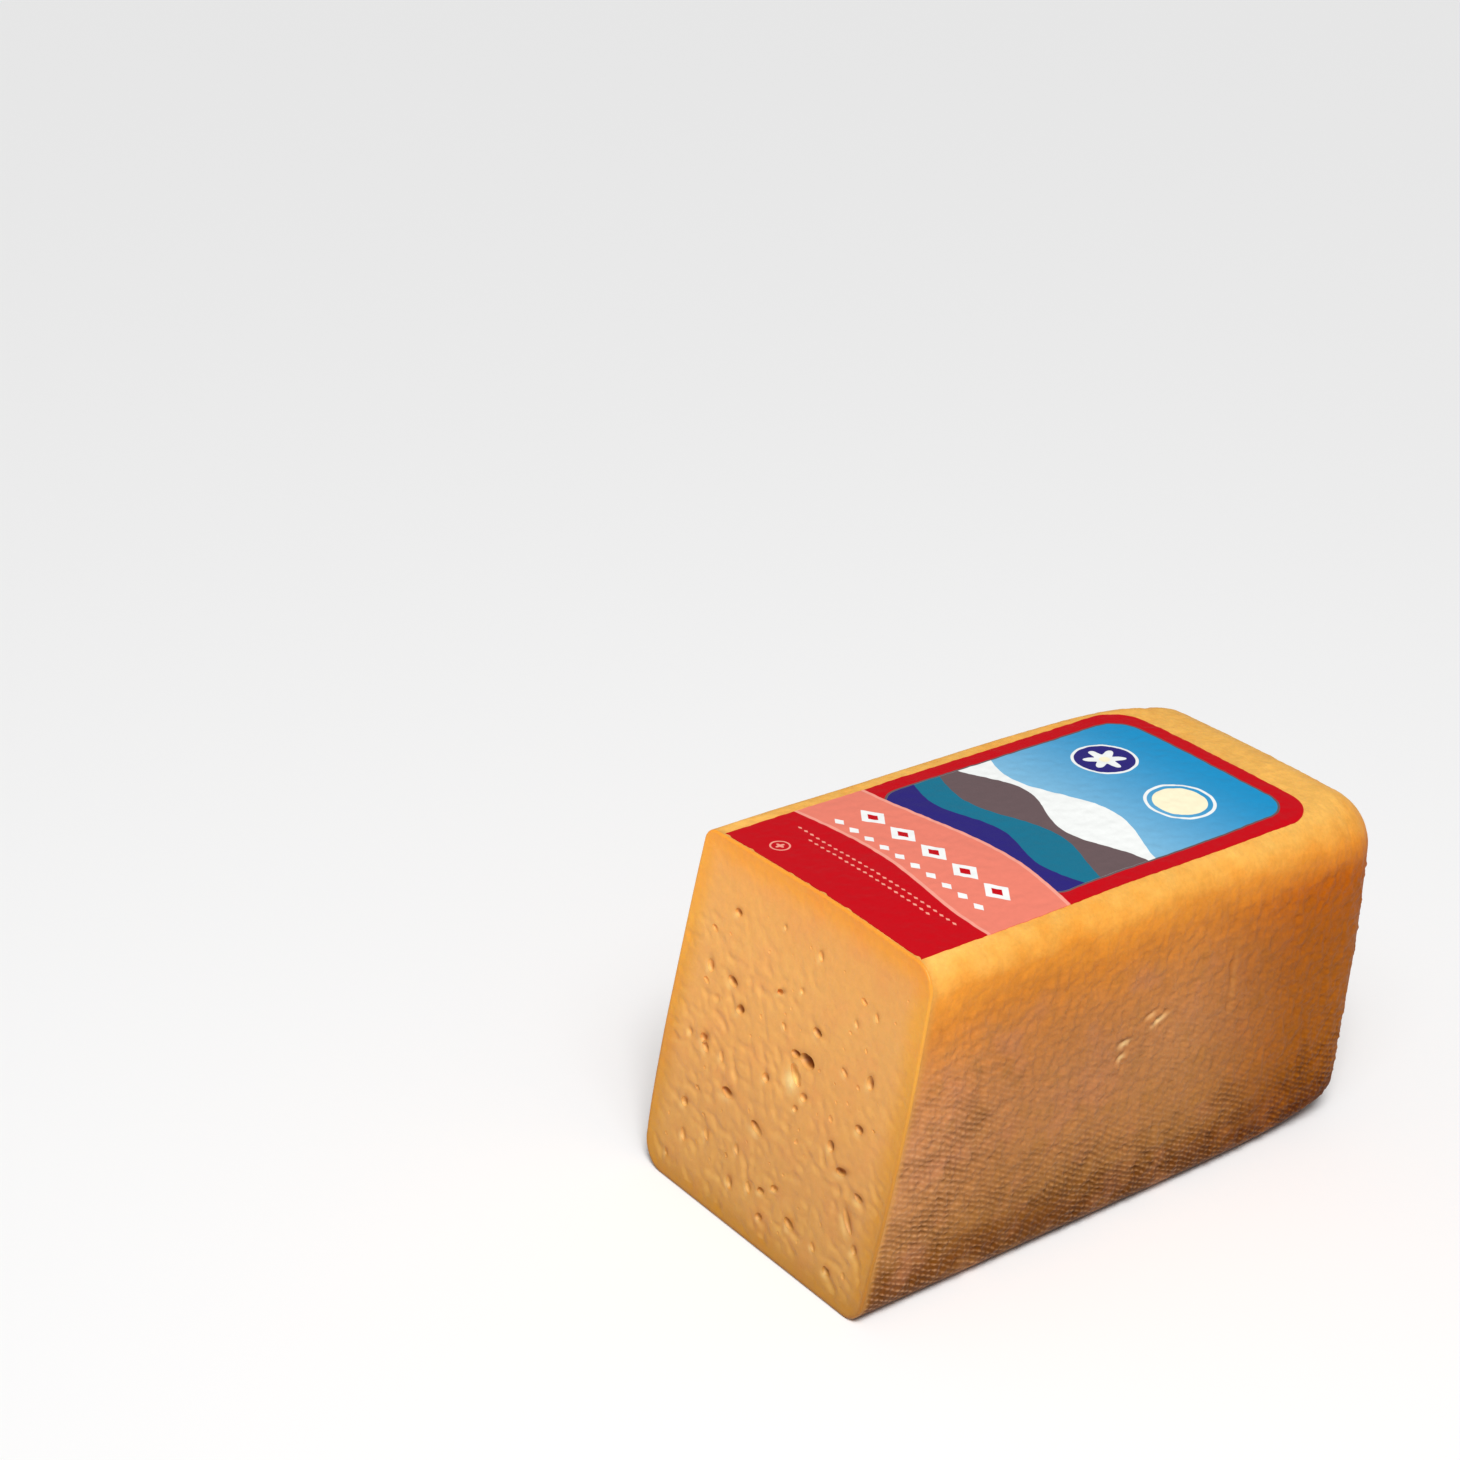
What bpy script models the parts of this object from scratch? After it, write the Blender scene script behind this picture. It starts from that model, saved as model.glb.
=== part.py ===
"""The larger part of a loaf of semi-hard cheese, cut across with a knife, with its label.

The loaf is a soft block: flat below, a little crowned above, with full sides and a full far end.
The knife has taken its near end off along a plane that leans back as it rises. The cut face shows
the paste, with round and slit-like eyes in it, and the rind round its rim. A printed label lies on
the top and was cut through with the cheese.

X runs across the loaf, Y along it from the cut to the far end, and Z up. The origin is the middle
of the bounding box, on the surface that the loaf stands on. Sizes are in metres.
"""

import math
import random

import bmesh
import bpy
from mathutils import Matrix, Vector, noise
from mathutils.bvhtree import BVHTree

# The whole loaf, before the cut. Its edges came out of the mould unevenly rounded.
WIDTH = 0.0968
HEIGHT = 0.1035
WHOLE_LENGTH = 0.2850
TOP_LEFT_RADIUS = 0.0035
TOP_RIGHT_RADIUS = 0.0075
BASE_LEFT_RADIUS = 0.0082
BASE_RIGHT_RADIUS = 0.0060
END_TOP_RADIUS = 0.0165
END_BASE_RADIUS = 0.0130
SIDE_SWELL = 0.0019
TOP_CROWN = 0.0011
END_SWELL = 0.0058
END_LEAN = 0.0025
SAG = 0.35
END_BLEND = 6
UNEVENNESS = 0.0005
UNEVEN_SPACING = 0.038
BASE_FADE = 0.018

# The knife's cut
CUT_LENGTH = 0.1945
CUT_LEAN = 0.0186

# The grid of the loaf's six sides, and how much of each is flat
SIDE_CUTS = 19
FLAT_SHARE = 0.60

# The eyes in the paste: the large ones by place and size, the small ones scattered.
# A place is measured from the middle of the cut's foot: across, and up the cut.
# A size is half the width, half the height and half the depth. A tilt is in degrees.
LARGE_EYES = (
    ((0.0090, 0.0600), (0.0030, 0.0024, 0.0042), 20),
    ((0.0050, 0.0562), (0.0028, 0.0030, 0.0018), 25),
    ((0.0341, 0.0662), (0.0014, 0.0021, 0.0018), 12),
    ((0.0366, 0.0262), (0.0012, 0.0042, 0.0014), 36),
    ((-0.0288, 0.0875), (0.0016, 0.0012, 0.0014), 0),
    ((-0.0257, 0.0678), (0.0024, 0.0014, 0.0018), -12),
    ((-0.0207, 0.0616), (0.0019, 0.0015, 0.0020), 30),
    ((0.0109, 0.0697), (0.0020, 0.0013, 0.0017), -8),
    ((0.0338, 0.0521), (0.0018, 0.0013, 0.0016), 0),
    ((0.0247, 0.0425), (0.0015, 0.0018, 0.0018), 20),
    ((0.0308, 0.0378), (0.0012, 0.0030, 0.0014), 105),
    ((0.0389, 0.0340), (0.0022, 0.0011, 0.0013), -10),
    ((0.0412, 0.0196), (0.0012, 0.0018, 0.0013), 10),
    ((0.0331, 0.0085), (0.0018, 0.0013, 0.0012), -18),
    ((0.0155, 0.0134), (0.0014, 0.0026, 0.0013), 68),
    ((0.0033, 0.0092), (0.0016, 0.0012, 0.0012), 10),
    ((-0.0112, 0.0125), (0.0013, 0.0022, 0.0012), 30),
    ((-0.0330, 0.0470), (0.0018, 0.0015, 0.0012), 34),
)
SMALL_EYES = 38
SMALL_EYE = (0.0007, 0.0014)
EYE_STRETCH = (1.0, 1.8)
EYE_TILT = (25, 85)
EYE_SPACING = 0.0052
EYE_FREE_RIM = 0.0070
EYE_FREE_TOP = 0.0180
EYE_SIDES = 9
EYE_RINGS = 6
EYE_SEED = 7

# The label
LABEL_WIDTH = 0.0830
LABEL_THICKNESS = 0.00035
LABEL_GAP = 0.00030
LABEL_CORNER = 0.0120
LABEL_END_MARGIN = 0.0235
LABEL_COLUMNS = 14
LABEL_ROWS = 24
LABEL_CORNER_ROWS = 7

# The finishes: colour, roughness and metallic value
RIND = ((0.84, 0.42, 0.12), 0.55, 0.0)
PAPER = ((0.62, 0.01, 0.02), 0.40, 0.0)

NEAR_END = CUT_LENGTH - WHOLE_LENGTH
CUT_FOOT = Vector((0, 0, 0))
CUT_RISE = Vector((0, CUT_LEAN, HEIGHT)).normalized()
CUT_NORMAL = Vector((0, -HEIGHT, CUT_LEAN)).normalized()


def clear_scene():
    for obj in list(bpy.data.objects):
        bpy.data.objects.remove(obj)


def finish(name, colour, roughness, metallic):
    material = bpy.data.materials.new(name)
    material.use_nodes = True
    shader = material.node_tree.nodes["Principled BSDF"]
    shader.inputs["Base Color"].default_value = (*colour, 1)
    shader.inputs["Roughness"].default_value = roughness
    shader.inputs["Metallic"].default_value = metallic
    return material


def collection(name):
    made = bpy.data.collections.new(name)
    bpy.context.scene.collection.children.link(made)
    return made


def object_from(shape, name, group, material=None):
    """Puts a bmesh into a new object, and frees it."""
    mesh = bpy.data.meshes.new(name)
    shape.to_mesh(mesh)
    shape.free()
    obj = bpy.data.objects.new(name, mesh)
    group.objects.link(obj)
    if material:
        mesh.materials.append(material)
    return obj


def blend(low, high, share):
    return low + (high - low) * share


def flat_part(value):
    """How far along a side's flat middle a cube coordinate lies, from -1 to 1."""
    return max(-1.0, min(1.0, value / FLAT_SHARE))


def corner_radius(cube):
    """The rounding near a point of the cube from -1 to 1, from that of the edges round it."""
    right, along, up = (flat_part(value) for value in cube)
    base = blend(BASE_LEFT_RADIUS, BASE_RIGHT_RADIUS, (right + 1) / 2)
    top = blend(TOP_LEFT_RADIUS, TOP_RIGHT_RADIUS, (right + 1) / 2)
    side = blend(base, top, (up + 1) / 2)
    end = blend(END_BASE_RADIUS, END_TOP_RADIUS, (up + 1) / 2)
    return blend(side, end, along**END_BLEND)


def arc_part(value):
    """The tangent of the turn that a cube coordinate has reached, 1 being the corner's middle."""
    turn = max(0.0, abs(value) - FLAT_SHARE) / (1 - FLAT_SHARE)
    return math.copysign(math.tan(turn * math.pi / 4), value)


def smooth(value):
    value = max(0.0, min(1.0, value))
    return value * value * (3 - 2 * value)


def loaf_point(cube):
    """Takes a point on the cube from -1 to 1 to the loaf's skin."""
    half = Vector((WIDTH, WHOLE_LENGTH, HEIGHT)) / 2
    radius = corner_radius(cube)
    outward = Vector(tuple(arc_part(value) for value in cube)).normalized()
    inner = Vector(tuple(flat_part(value) * (size - radius) for value, size in zip(cube, half)))
    place = inner + outward * radius
    across, along, up = (place[i] / half[i] for i in range(3))
    belly = (1 - up**2) * (1 - SAG * up)
    place.x += SIDE_SWELL * across * belly * (1 - along**4)
    place.y += END_SWELL * along * belly * (1 - across**2) + END_LEAN * along * up
    place.z += TOP_CROWN * max(0.0, up) ** 2 * (1 - across**2)
    place += Vector((0, NEAR_END + half.y, half.z))
    bump = noise.noise(place / UNEVEN_SPACING) * UNEVENNESS * smooth(place.z / BASE_FADE)
    return place + outward * bump


def whole_loaf():
    shape = bmesh.new()
    bmesh.ops.create_cube(shape, size=2)
    bmesh.ops.subdivide_edges(shape, edges=shape.edges[:], cuts=SIDE_CUTS, use_grid_fill=True)
    for vertex in shape.verts:
        vertex.co = loaf_point(vertex.co)
    bmesh.ops.triangulate(shape, faces=shape.faces[:])
    return shape


def slice_off(shape):
    """Takes off what lies in front of the knife's plane, and closes the cut."""
    parts = shape.verts[:] + shape.edges[:] + shape.faces[:]
    bmesh.ops.bisect_plane(
        shape, geom=parts, plane_co=CUT_FOOT, plane_no=CUT_NORMAL, clear_outer=True, dist=1e-6
    )
    rim = [edge for edge in shape.edges if edge.is_boundary]
    bmesh.ops.edgeloop_fill(shape, edges=rim)
    bmesh.ops.recalc_face_normals(shape, faces=shape.faces[:])


def small_eyes():
    """Places the small eyes at random, clear of the rim and of one another."""
    draw = random.Random(EYE_SEED)
    taken = [Vector(place) for place, size, tilt in LARGE_EYES]
    rise = HEIGHT / CUT_RISE.z
    eyes = []
    while len(eyes) < SMALL_EYES:
        side = WIDTH / 2 - EYE_FREE_RIM
        place = Vector((draw.uniform(-side, side), draw.uniform(EYE_FREE_RIM, rise - EYE_FREE_TOP)))
        radius = draw.uniform(*SMALL_EYE)
        stretch = draw.uniform(*EYE_STRETCH)
        tilt = draw.uniform(*EYE_TILT)
        if all((place - other).length > EYE_SPACING for other in taken):
            taken.append(place)
            eyes.append((place, (radius, radius * stretch, radius), tilt))
    return eyes


def eye_cutters(group):
    """One object with an egg-shaped body for each eye, half sunk in the cut face."""
    shape = bmesh.new()
    facing = Matrix((Vector((1, 0, 0)), CUT_RISE, CUT_NORMAL)).transposed()
    for place, size, tilt in (*LARGE_EYES, *small_eyes()):
        middle = CUT_FOOT + Vector((place[0], 0, 0)) + CUT_RISE * place[1]
        turn = Matrix.Rotation(math.radians(tilt), 3, "Z")
        stretch = Matrix.Diagonal(size)
        matrix = (facing @ turn @ stretch).to_4x4()
        matrix.translation = middle
        bmesh.ops.create_uvsphere(
            shape, u_segments=EYE_SIDES, v_segments=EYE_RINGS, radius=1, matrix=matrix
        )
    bmesh.ops.recalc_face_normals(shape, faces=shape.faces[:])
    cutters = object_from(shape, "eye_cutters", group)
    cutters.hide_render = True
    cutters.display_type = "WIRE"
    return cutters


def cheese(group, helpers, material):
    shape = whole_loaf()
    slice_off(shape)
    block = object_from(shape, "cheese_block", group, material)
    block.data.shade_smooth()
    block.data.set_sharp_from_angle(angle=math.radians(35))
    pits = block.modifiers.new("eyes", "BOOLEAN")
    pits.operation = "DIFFERENCE"
    pits.solver = "EXACT"
    pits.use_self = True
    pits.object = eye_cutters(helpers)
    return block


def label_rows():
    """How far along the label each row of points lies, closer together round the far corners."""
    end = CUT_LENGTH - LABEL_END_MARGIN
    straight = end - LABEL_CORNER
    rows = [straight * i / LABEL_ROWS for i in range(LABEL_ROWS + 1)]
    for i in range(1, LABEL_CORNER_ROWS + 1):
        rows.append(straight + LABEL_CORNER * math.sin(math.pi / 2 * i / LABEL_CORNER_ROWS))
    return rows


def label_half_width(along):
    past = along - (CUT_LENGTH - LABEL_END_MARGIN - LABEL_CORNER)
    if past <= 0:
        return LABEL_WIDTH / 2
    return LABEL_WIDTH / 2 - LABEL_CORNER + math.sqrt(max(0.0, LABEL_CORNER**2 - past**2))


def label(group, material):
    """A thin sheet that follows the loaf's top, with round far corners and the knife's near edge."""
    loaf = whole_loaf()
    skin = BVHTree.FromBMesh(loaf)
    loaf.free()
    rows = label_rows()
    shape = bmesh.new()
    bmesh.ops.create_grid(shape, x_segments=LABEL_COLUMNS, y_segments=len(rows) - 1, size=1)
    down = Vector((0, 0, -1))
    for vertex in shape.verts:
        along = rows[round((vertex.co.y + 1) / 2 * (len(rows) - 1))]
        above = Vector((vertex.co.x * label_half_width(along), along, 2 * HEIGHT))
        hit = skin.ray_cast(above, down)[0]
        vertex.co = hit + Vector((0, 0, LABEL_GAP))
    lower = shape.faces[:]
    raised = bmesh.ops.extrude_face_region(shape, geom=lower)["geom"]
    for part in raised:
        if isinstance(part, bmesh.types.BMVert):
            part.co.z += LABEL_THICKNESS
    bmesh.ops.recalc_face_normals(shape, faces=shape.faces[:])
    slice_off(shape)
    return object_from(shape, "label", group, material)


def stand_on_origin(objects):
    """Moves the pieces so that the middle of the box round them, at its foot, is the origin."""
    bpy.context.view_layer.update()
    corners = [obj.matrix_world @ Vector(corner) for obj in objects for corner in obj.bound_box]
    low = Vector(tuple(min(corner[i] for corner in corners) for i in range(3)))
    high = Vector(tuple(max(corner[i] for corner in corners) for i in range(3)))
    foot = Vector(((low.x + high.x) / 2, (low.y + high.y) / 2, low.z))
    for obj in objects:
        obj.location -= foot
    return foot


def main():
    clear_scene()
    pieces = collection("cut_loaf")
    helpers = collection("cutters")
    block = cheese(pieces, helpers, finish("rind", *RIND))
    sheet = label(pieces, finish("paper", *PAPER))
    foot = stand_on_origin([block, sheet])
    for cutter in helpers.objects:
        cutter.location -= foot


main()
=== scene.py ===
"""Looks of the larger part of a loaf of semi-hard cheese, cut across, with a printed label.

The rind is five closed panels, one for each side of the loaf, which meet in the middle of its
rounded edges. The paste is a closed slab behind the knife's cut, with the eyes sunk in it. The
label is a thin sheet on the top. Sizes are in metres and angles in degrees, in the frame's axes:
X across the loaf, Y along it away from the cut, Z up.
"""

import logging
import math
import random
from collections.abc import Callable
from dataclasses import dataclass, field, replace
from enum import Enum

import bpy
import numpy as np
from mathutils import Matrix, Vector, noise
from mathutils.bvhtree import BVHTree


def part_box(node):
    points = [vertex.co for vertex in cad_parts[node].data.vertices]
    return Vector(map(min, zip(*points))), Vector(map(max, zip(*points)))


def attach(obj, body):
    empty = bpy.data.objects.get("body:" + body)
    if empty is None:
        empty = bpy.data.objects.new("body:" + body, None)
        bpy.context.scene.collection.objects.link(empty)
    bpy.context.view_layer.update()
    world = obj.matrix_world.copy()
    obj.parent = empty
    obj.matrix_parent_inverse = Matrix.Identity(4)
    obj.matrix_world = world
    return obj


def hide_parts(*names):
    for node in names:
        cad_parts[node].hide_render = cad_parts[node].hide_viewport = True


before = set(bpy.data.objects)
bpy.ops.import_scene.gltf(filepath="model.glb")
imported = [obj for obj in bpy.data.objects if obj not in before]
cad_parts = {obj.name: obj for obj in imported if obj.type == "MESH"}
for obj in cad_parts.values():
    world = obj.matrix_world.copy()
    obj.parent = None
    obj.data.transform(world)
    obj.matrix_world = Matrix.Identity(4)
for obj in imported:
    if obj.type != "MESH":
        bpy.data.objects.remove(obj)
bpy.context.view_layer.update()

logging.basicConfig(level=logging.INFO, format="%(levelname)s %(message)s")
log = logging.getLogger("cut_loaf")

BAKE_MAP = "OFBake"
MILLIMETRES = 1000.0

Tree = bpy.types.NodeTree
Node = bpy.types.Node
Socket = bpy.types.NodeSocket
Entries = bpy.types.NodeOutputs
Mesh = bpy.types.Mesh
Piece = bpy.types.Object
Material = bpy.types.Material
Number = float | Socket
Colour = tuple[float, float, float]

# A span is given by its two ends, and a rise by its start and the distance that it goes on for.
Span = tuple[float, float]
Rise = tuple[float, float]

SHOWN_MAP: Span = (0.008, 0.968)
HIDDEN_MAP: Span = (0.976, 0.994)


def from_screen(red: int, green: int, blue: int) -> Colour:
    """Turns a screen colour into the light values that a shader takes.

    Args:
        red: Red from 0 to 255.
        green: Green from 0 to 255.
        blue: Blue from 0 to 255.

    Returns:
        The same colour as linear values from 0 to 1.
    """
    shares = (value / 255 for value in (red, green, blue))
    return tuple(s / 12.92 if s <= 0.04045 else ((s + 0.055) / 1.055) ** 2.4 for s in shares)


def smooth(values: np.ndarray) -> np.ndarray:
    """Eases values from 0 to 1, with both ends level.

    Args:
        values: Shares, of which those outside 0 to 1 are held there.

    Returns:
        The eased shares.
    """
    held = np.clip(values, 0, 1)
    return held * held * (3 - 2 * held)


def rising(values: np.ndarray, start: float, over: float) -> np.ndarray:
    """Eases values to 0 up to a start, and to 1 from a distance past it."""
    return smooth((values - start) / over)


def blend(low: np.ndarray, high: np.ndarray, share: np.ndarray) -> np.ndarray:
    """Mixes two values: all low at share 0 and all high at share 1."""
    return low + (high - low) * share


def noise_at(points: np.ndarray, spacing: float) -> np.ndarray:
    """Reads smooth noise from -1 to 1.

    Args:
        points: Places, with X, Y and Z in the last axis.
        spacing: Distance over which the noise changes.

    Returns:
        One value for each place.
    """
    flat = (points / spacing).reshape(-1, 3).tolist()
    values = np.fromiter((noise.noise(place) for place in flat), float, len(flat))
    return values.reshape(points.shape[:-1])


@dataclass(frozen=True)
class Patches:
    """Soft patches over a surface: their spacing, where the noise starts them, and what they give."""

    spacing: float
    start: float
    over: float
    least: float = 0.0
    most: float = 1.0

    def at(self, points: np.ndarray) -> np.ndarray:
        """Reads the patches' strength at places."""
        share = rising(noise_at(points, self.spacing), self.start, self.over)
        return blend(self.least, self.most, share)


class Side(Enum):
    """The sides of the loaf: the axis and sign that they face, and the axes of their grid."""

    RIGHT = (0, 1, 1, 2)
    LEFT = (0, -1, 1, 2)
    TOP = (2, 1, 1, 0)
    BASE = (2, -1, 1, 0)
    END = (1, 1, 0, 2)

    @property
    def axis(self) -> int:
        """The axis that the side faces along."""
        return self.value[0]

    @property
    def sign(self) -> int:
        """Which way along its axis the side faces."""
        return self.value[1]

    @property
    def row_axis(self) -> int:
        """The axis that the grid's rows follow one another along."""
        return self.value[2]

    @property
    def column_axis(self) -> int:
        """The axis that the grid's columns follow one another along."""
        return self.value[3]

    @property
    def outward(self) -> np.ndarray:
        """The side's outward direction."""
        direction = np.zeros(3)
        direction[self.axis] = self.sign
        return direction


@dataclass(frozen=True)
class LoafForm:
    """The whole loaf's rounded block, which the solid in the frame was made from.

    A point on it is given by a place on the cube from -1 to 1. The flat share of each side maps to
    the block's flat middle, and the rest to half of the rounded edge.
    """

    foot: tuple[float, float, float]
    width: float = 0.0968
    height: float = 0.1035
    length: float = 0.2850
    top_left_radius: float = 0.0035
    top_right_radius: float = 0.0075
    base_left_radius: float = 0.0082
    base_right_radius: float = 0.0060
    end_top_radius: float = 0.0165
    end_base_radius: float = 0.0130
    end_blend: int = 6
    side_swell: float = 0.0019
    top_crown: float = 0.0011
    end_swell: float = 0.0058
    end_lean: float = 0.0025
    sag: float = 0.35
    unevenness: float = 0.0005
    uneven_spacing: float = 0.038
    base_fade: float = 0.018
    cut_length: float = 0.1945
    flat_share: float = 0.60

    def radius(self, flat: np.ndarray) -> np.ndarray:
        """Finds the rounding that belongs to places on the flat parts' cube.

        Args:
            flat: Places from -1 to 1, with X, Y and Z in the last axis.

        Returns:
            The radius at each place.
        """
        right, along, up = ((flat[..., 0] + 1) / 2, flat[..., 1], (flat[..., 2] + 1) / 2)
        base = blend(self.base_left_radius, self.base_right_radius, right)
        top = blend(self.top_left_radius, self.top_right_radius, right)
        end = blend(self.end_base_radius, self.end_top_radius, up)
        return blend(blend(base, top, up), end, along**self.end_blend)

    def skin(self, cube: np.ndarray) -> np.ndarray:
        """Takes places on the cube to the loaf's skin.

        Args:
            cube: Places on the cube's surface, with X, Y and Z in the last axis.

        Returns:
            The same places on the loaf, in the frame.
        """
        half = np.array((self.width, self.length, self.height)) / 2
        flat = np.clip(cube / self.flat_share, -1, 1)
        turn = np.clip(np.abs(cube) - self.flat_share, 0, None) / (1 - self.flat_share)
        outward = np.sign(cube) * np.tan(turn * np.pi / 4)
        outward /= np.linalg.norm(outward, axis=-1, keepdims=True)
        radius = self.radius(flat)[..., None]
        place = flat * (half - radius) + outward * radius
        across, along, up = np.moveaxis(place / half, -1, 0)
        belly = (1 - up**2) * (1 - self.sag * up)
        place[..., 0] += self.side_swell * across * belly * (1 - along**4)
        place[..., 1] += self.end_swell * along * belly * (1 - across**2)
        place[..., 1] += self.end_lean * along * up
        place[..., 2] += self.top_crown * np.clip(up, 0, None) ** 2 * (1 - across**2)
        place += (0, self.cut_length - half[1], half[2])
        lift = noise_at(place, self.uneven_spacing) * self.unevenness
        lift *= smooth(place[..., 2] / self.base_fade)
        return place + outward * lift[..., None] - np.array(self.foot)

    def normals(self, cube: np.ndarray, axis: int, step: float = 0.01) -> np.ndarray:
        """Finds the skin's outward normals, also across the seams between two sides.

        Args:
            cube: Places on one side of the cube, one in each row.
            axis: The axis that the side faces along.
            step: Half the span on the cube that a slope is read over.

        Returns:
            One unit normal for each place.
        """
        spans = []
        for moving in (other for other in range(3) if other != axis):
            ends = []
            for way in (1, -1):
                moved = cube.copy()
                moved[:, moving] += way * step
                over = np.abs(moved[:, moving]) > 1
                moved[over, moving] = np.sign(moved[over, moving])
                moved[over, axis] -= np.sign(cube[over, axis]) * step
                ends.append(self.skin(moved))
            spans.append(ends[0] - ends[1])
        normal = np.cross(*spans)
        normal *= np.sign((normal * cube).sum(1))[:, None]
        return normal / np.linalg.norm(normal, axis=1, keepdims=True)

    def side_steps(self, low_radius: float, size: float, high_radius: float, count: int) -> np.ndarray:
        """Spreads places evenly over a side, from the middle of one rounded edge to the next.

        Args:
            low_radius: The rounding at the low edge.
            size: The side's full size.
            high_radius: The rounding at the high edge.
            count: How many places.

        Returns:
            The places' cube coordinates, from -1 to 1.
        """
        arcs = (low_radius * math.pi / 4, size - low_radius - high_radius, high_radius * math.pi / 4)
        reached = np.concatenate(([0], np.cumsum(arcs)))
        evenly = np.linspace(0, reached[-1], count)
        return np.interp(evenly, reached, (-1, -self.flat_share, self.flat_share, 1))

    def steps_across(self, count: int) -> np.ndarray:
        """Spreads cube coordinates evenly across the loaf."""
        return self.side_steps(self.base_left_radius, self.width, self.top_right_radius, count)

    def steps_up(self, count: int) -> np.ndarray:
        """Spreads cube coordinates evenly up the loaf."""
        return self.side_steps(self.base_right_radius, self.height, self.top_right_radius, count)

    def station(self, share: np.ndarray) -> np.ndarray:
        """Turns shares of the loaf's length into cube coordinates."""
        arc = self.end_top_radius * math.pi / 4
        whole = self.length - 2 * self.end_top_radius + 2 * arc
        return np.interp(
            share, (0, arc / whole, 1 - arc / whole, 1), (-1, -self.flat_share, self.flat_share, 1)
        )


@dataclass(frozen=True)
class KnifeCut:
    """The plane that the knife went down: it leans away from the near end as it rises."""

    foot: tuple[float, float, float]
    height: float = 0.1035
    lean: float = 0.0186
    edge_round: float = 0.0007
    halvings: int = 26

    @property
    def rise(self) -> np.ndarray:
        """The direction straight up the cut face."""
        return np.array((0, self.lean, self.height)) / math.hypot(self.lean, self.height)

    @property
    def facing(self) -> np.ndarray:
        """The direction that the cut face looks in."""
        return np.array((0, -self.height, self.lean)) / math.hypot(self.lean, self.height)

    def depth(self, points: np.ndarray) -> np.ndarray:
        """Measures how far places lie behind the cut face."""
        return -(points - np.array(self.foot)) @ self.facing

    def flatten(self, points: np.ndarray) -> np.ndarray:
        """Reads places on the cut face as distances across it and up it."""
        offset = points - np.array(self.foot)
        return np.stack((offset[..., 0], offset @ self.rise), -1)

    def place(self, flat: np.ndarray, depth: np.ndarray | float) -> np.ndarray:
        """Puts distances across and up the cut face back into the frame.

        Args:
            flat: Distances across and up, in the last axis.
            depth: How far behind the face each place lies.

        Returns:
            The places in the frame.
        """
        across = flat[..., :1] * np.array((1.0, 0.0, 0.0))
        up = flat[..., 1:] * self.rise
        behind = np.asarray(depth)[..., None] * self.facing
        return np.array(self.foot) + across + up - behind

    def shares_along(self, form: LoafForm, across: np.ndarray, up: np.ndarray) -> np.ndarray:
        """Finds where lines along the loaf's skin meet the back of the cut's rounded edge.

        Args:
            form: The loaf.
            across: The lines' cube coordinates in X.
            up: The lines' cube coordinates in Z.

        Returns:
            For each line, the share of the loaf's length at which it is met.
        """
        low = np.zeros(len(across))
        high = np.ones(len(across))
        for _ in range(self.halvings):
            middle = (low + high) / 2
            cube = np.stack((across, form.station(middle), up), -1)
            behind = self.depth(form.skin(cube)) > self.edge_round
            high = np.where(behind, middle, high)
            low = np.where(behind, low, middle)
        return high


@dataclass(frozen=True)
class Grain:
    """A noise that nodes read.

    The scale is how often it changes in a metre, and the detail is how many finer layers it has.
    Its values lie about the middle, over the spread.
    """

    scale: float
    detail: float
    seed: float
    spread: float = 1.0
    middle: float = 0.5


@dataclass(frozen=True)
class Patch:
    """Soft patches that nodes read: a noise, the span that they fade in over and their share."""

    grain: Grain
    span: Span
    share: float


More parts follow.
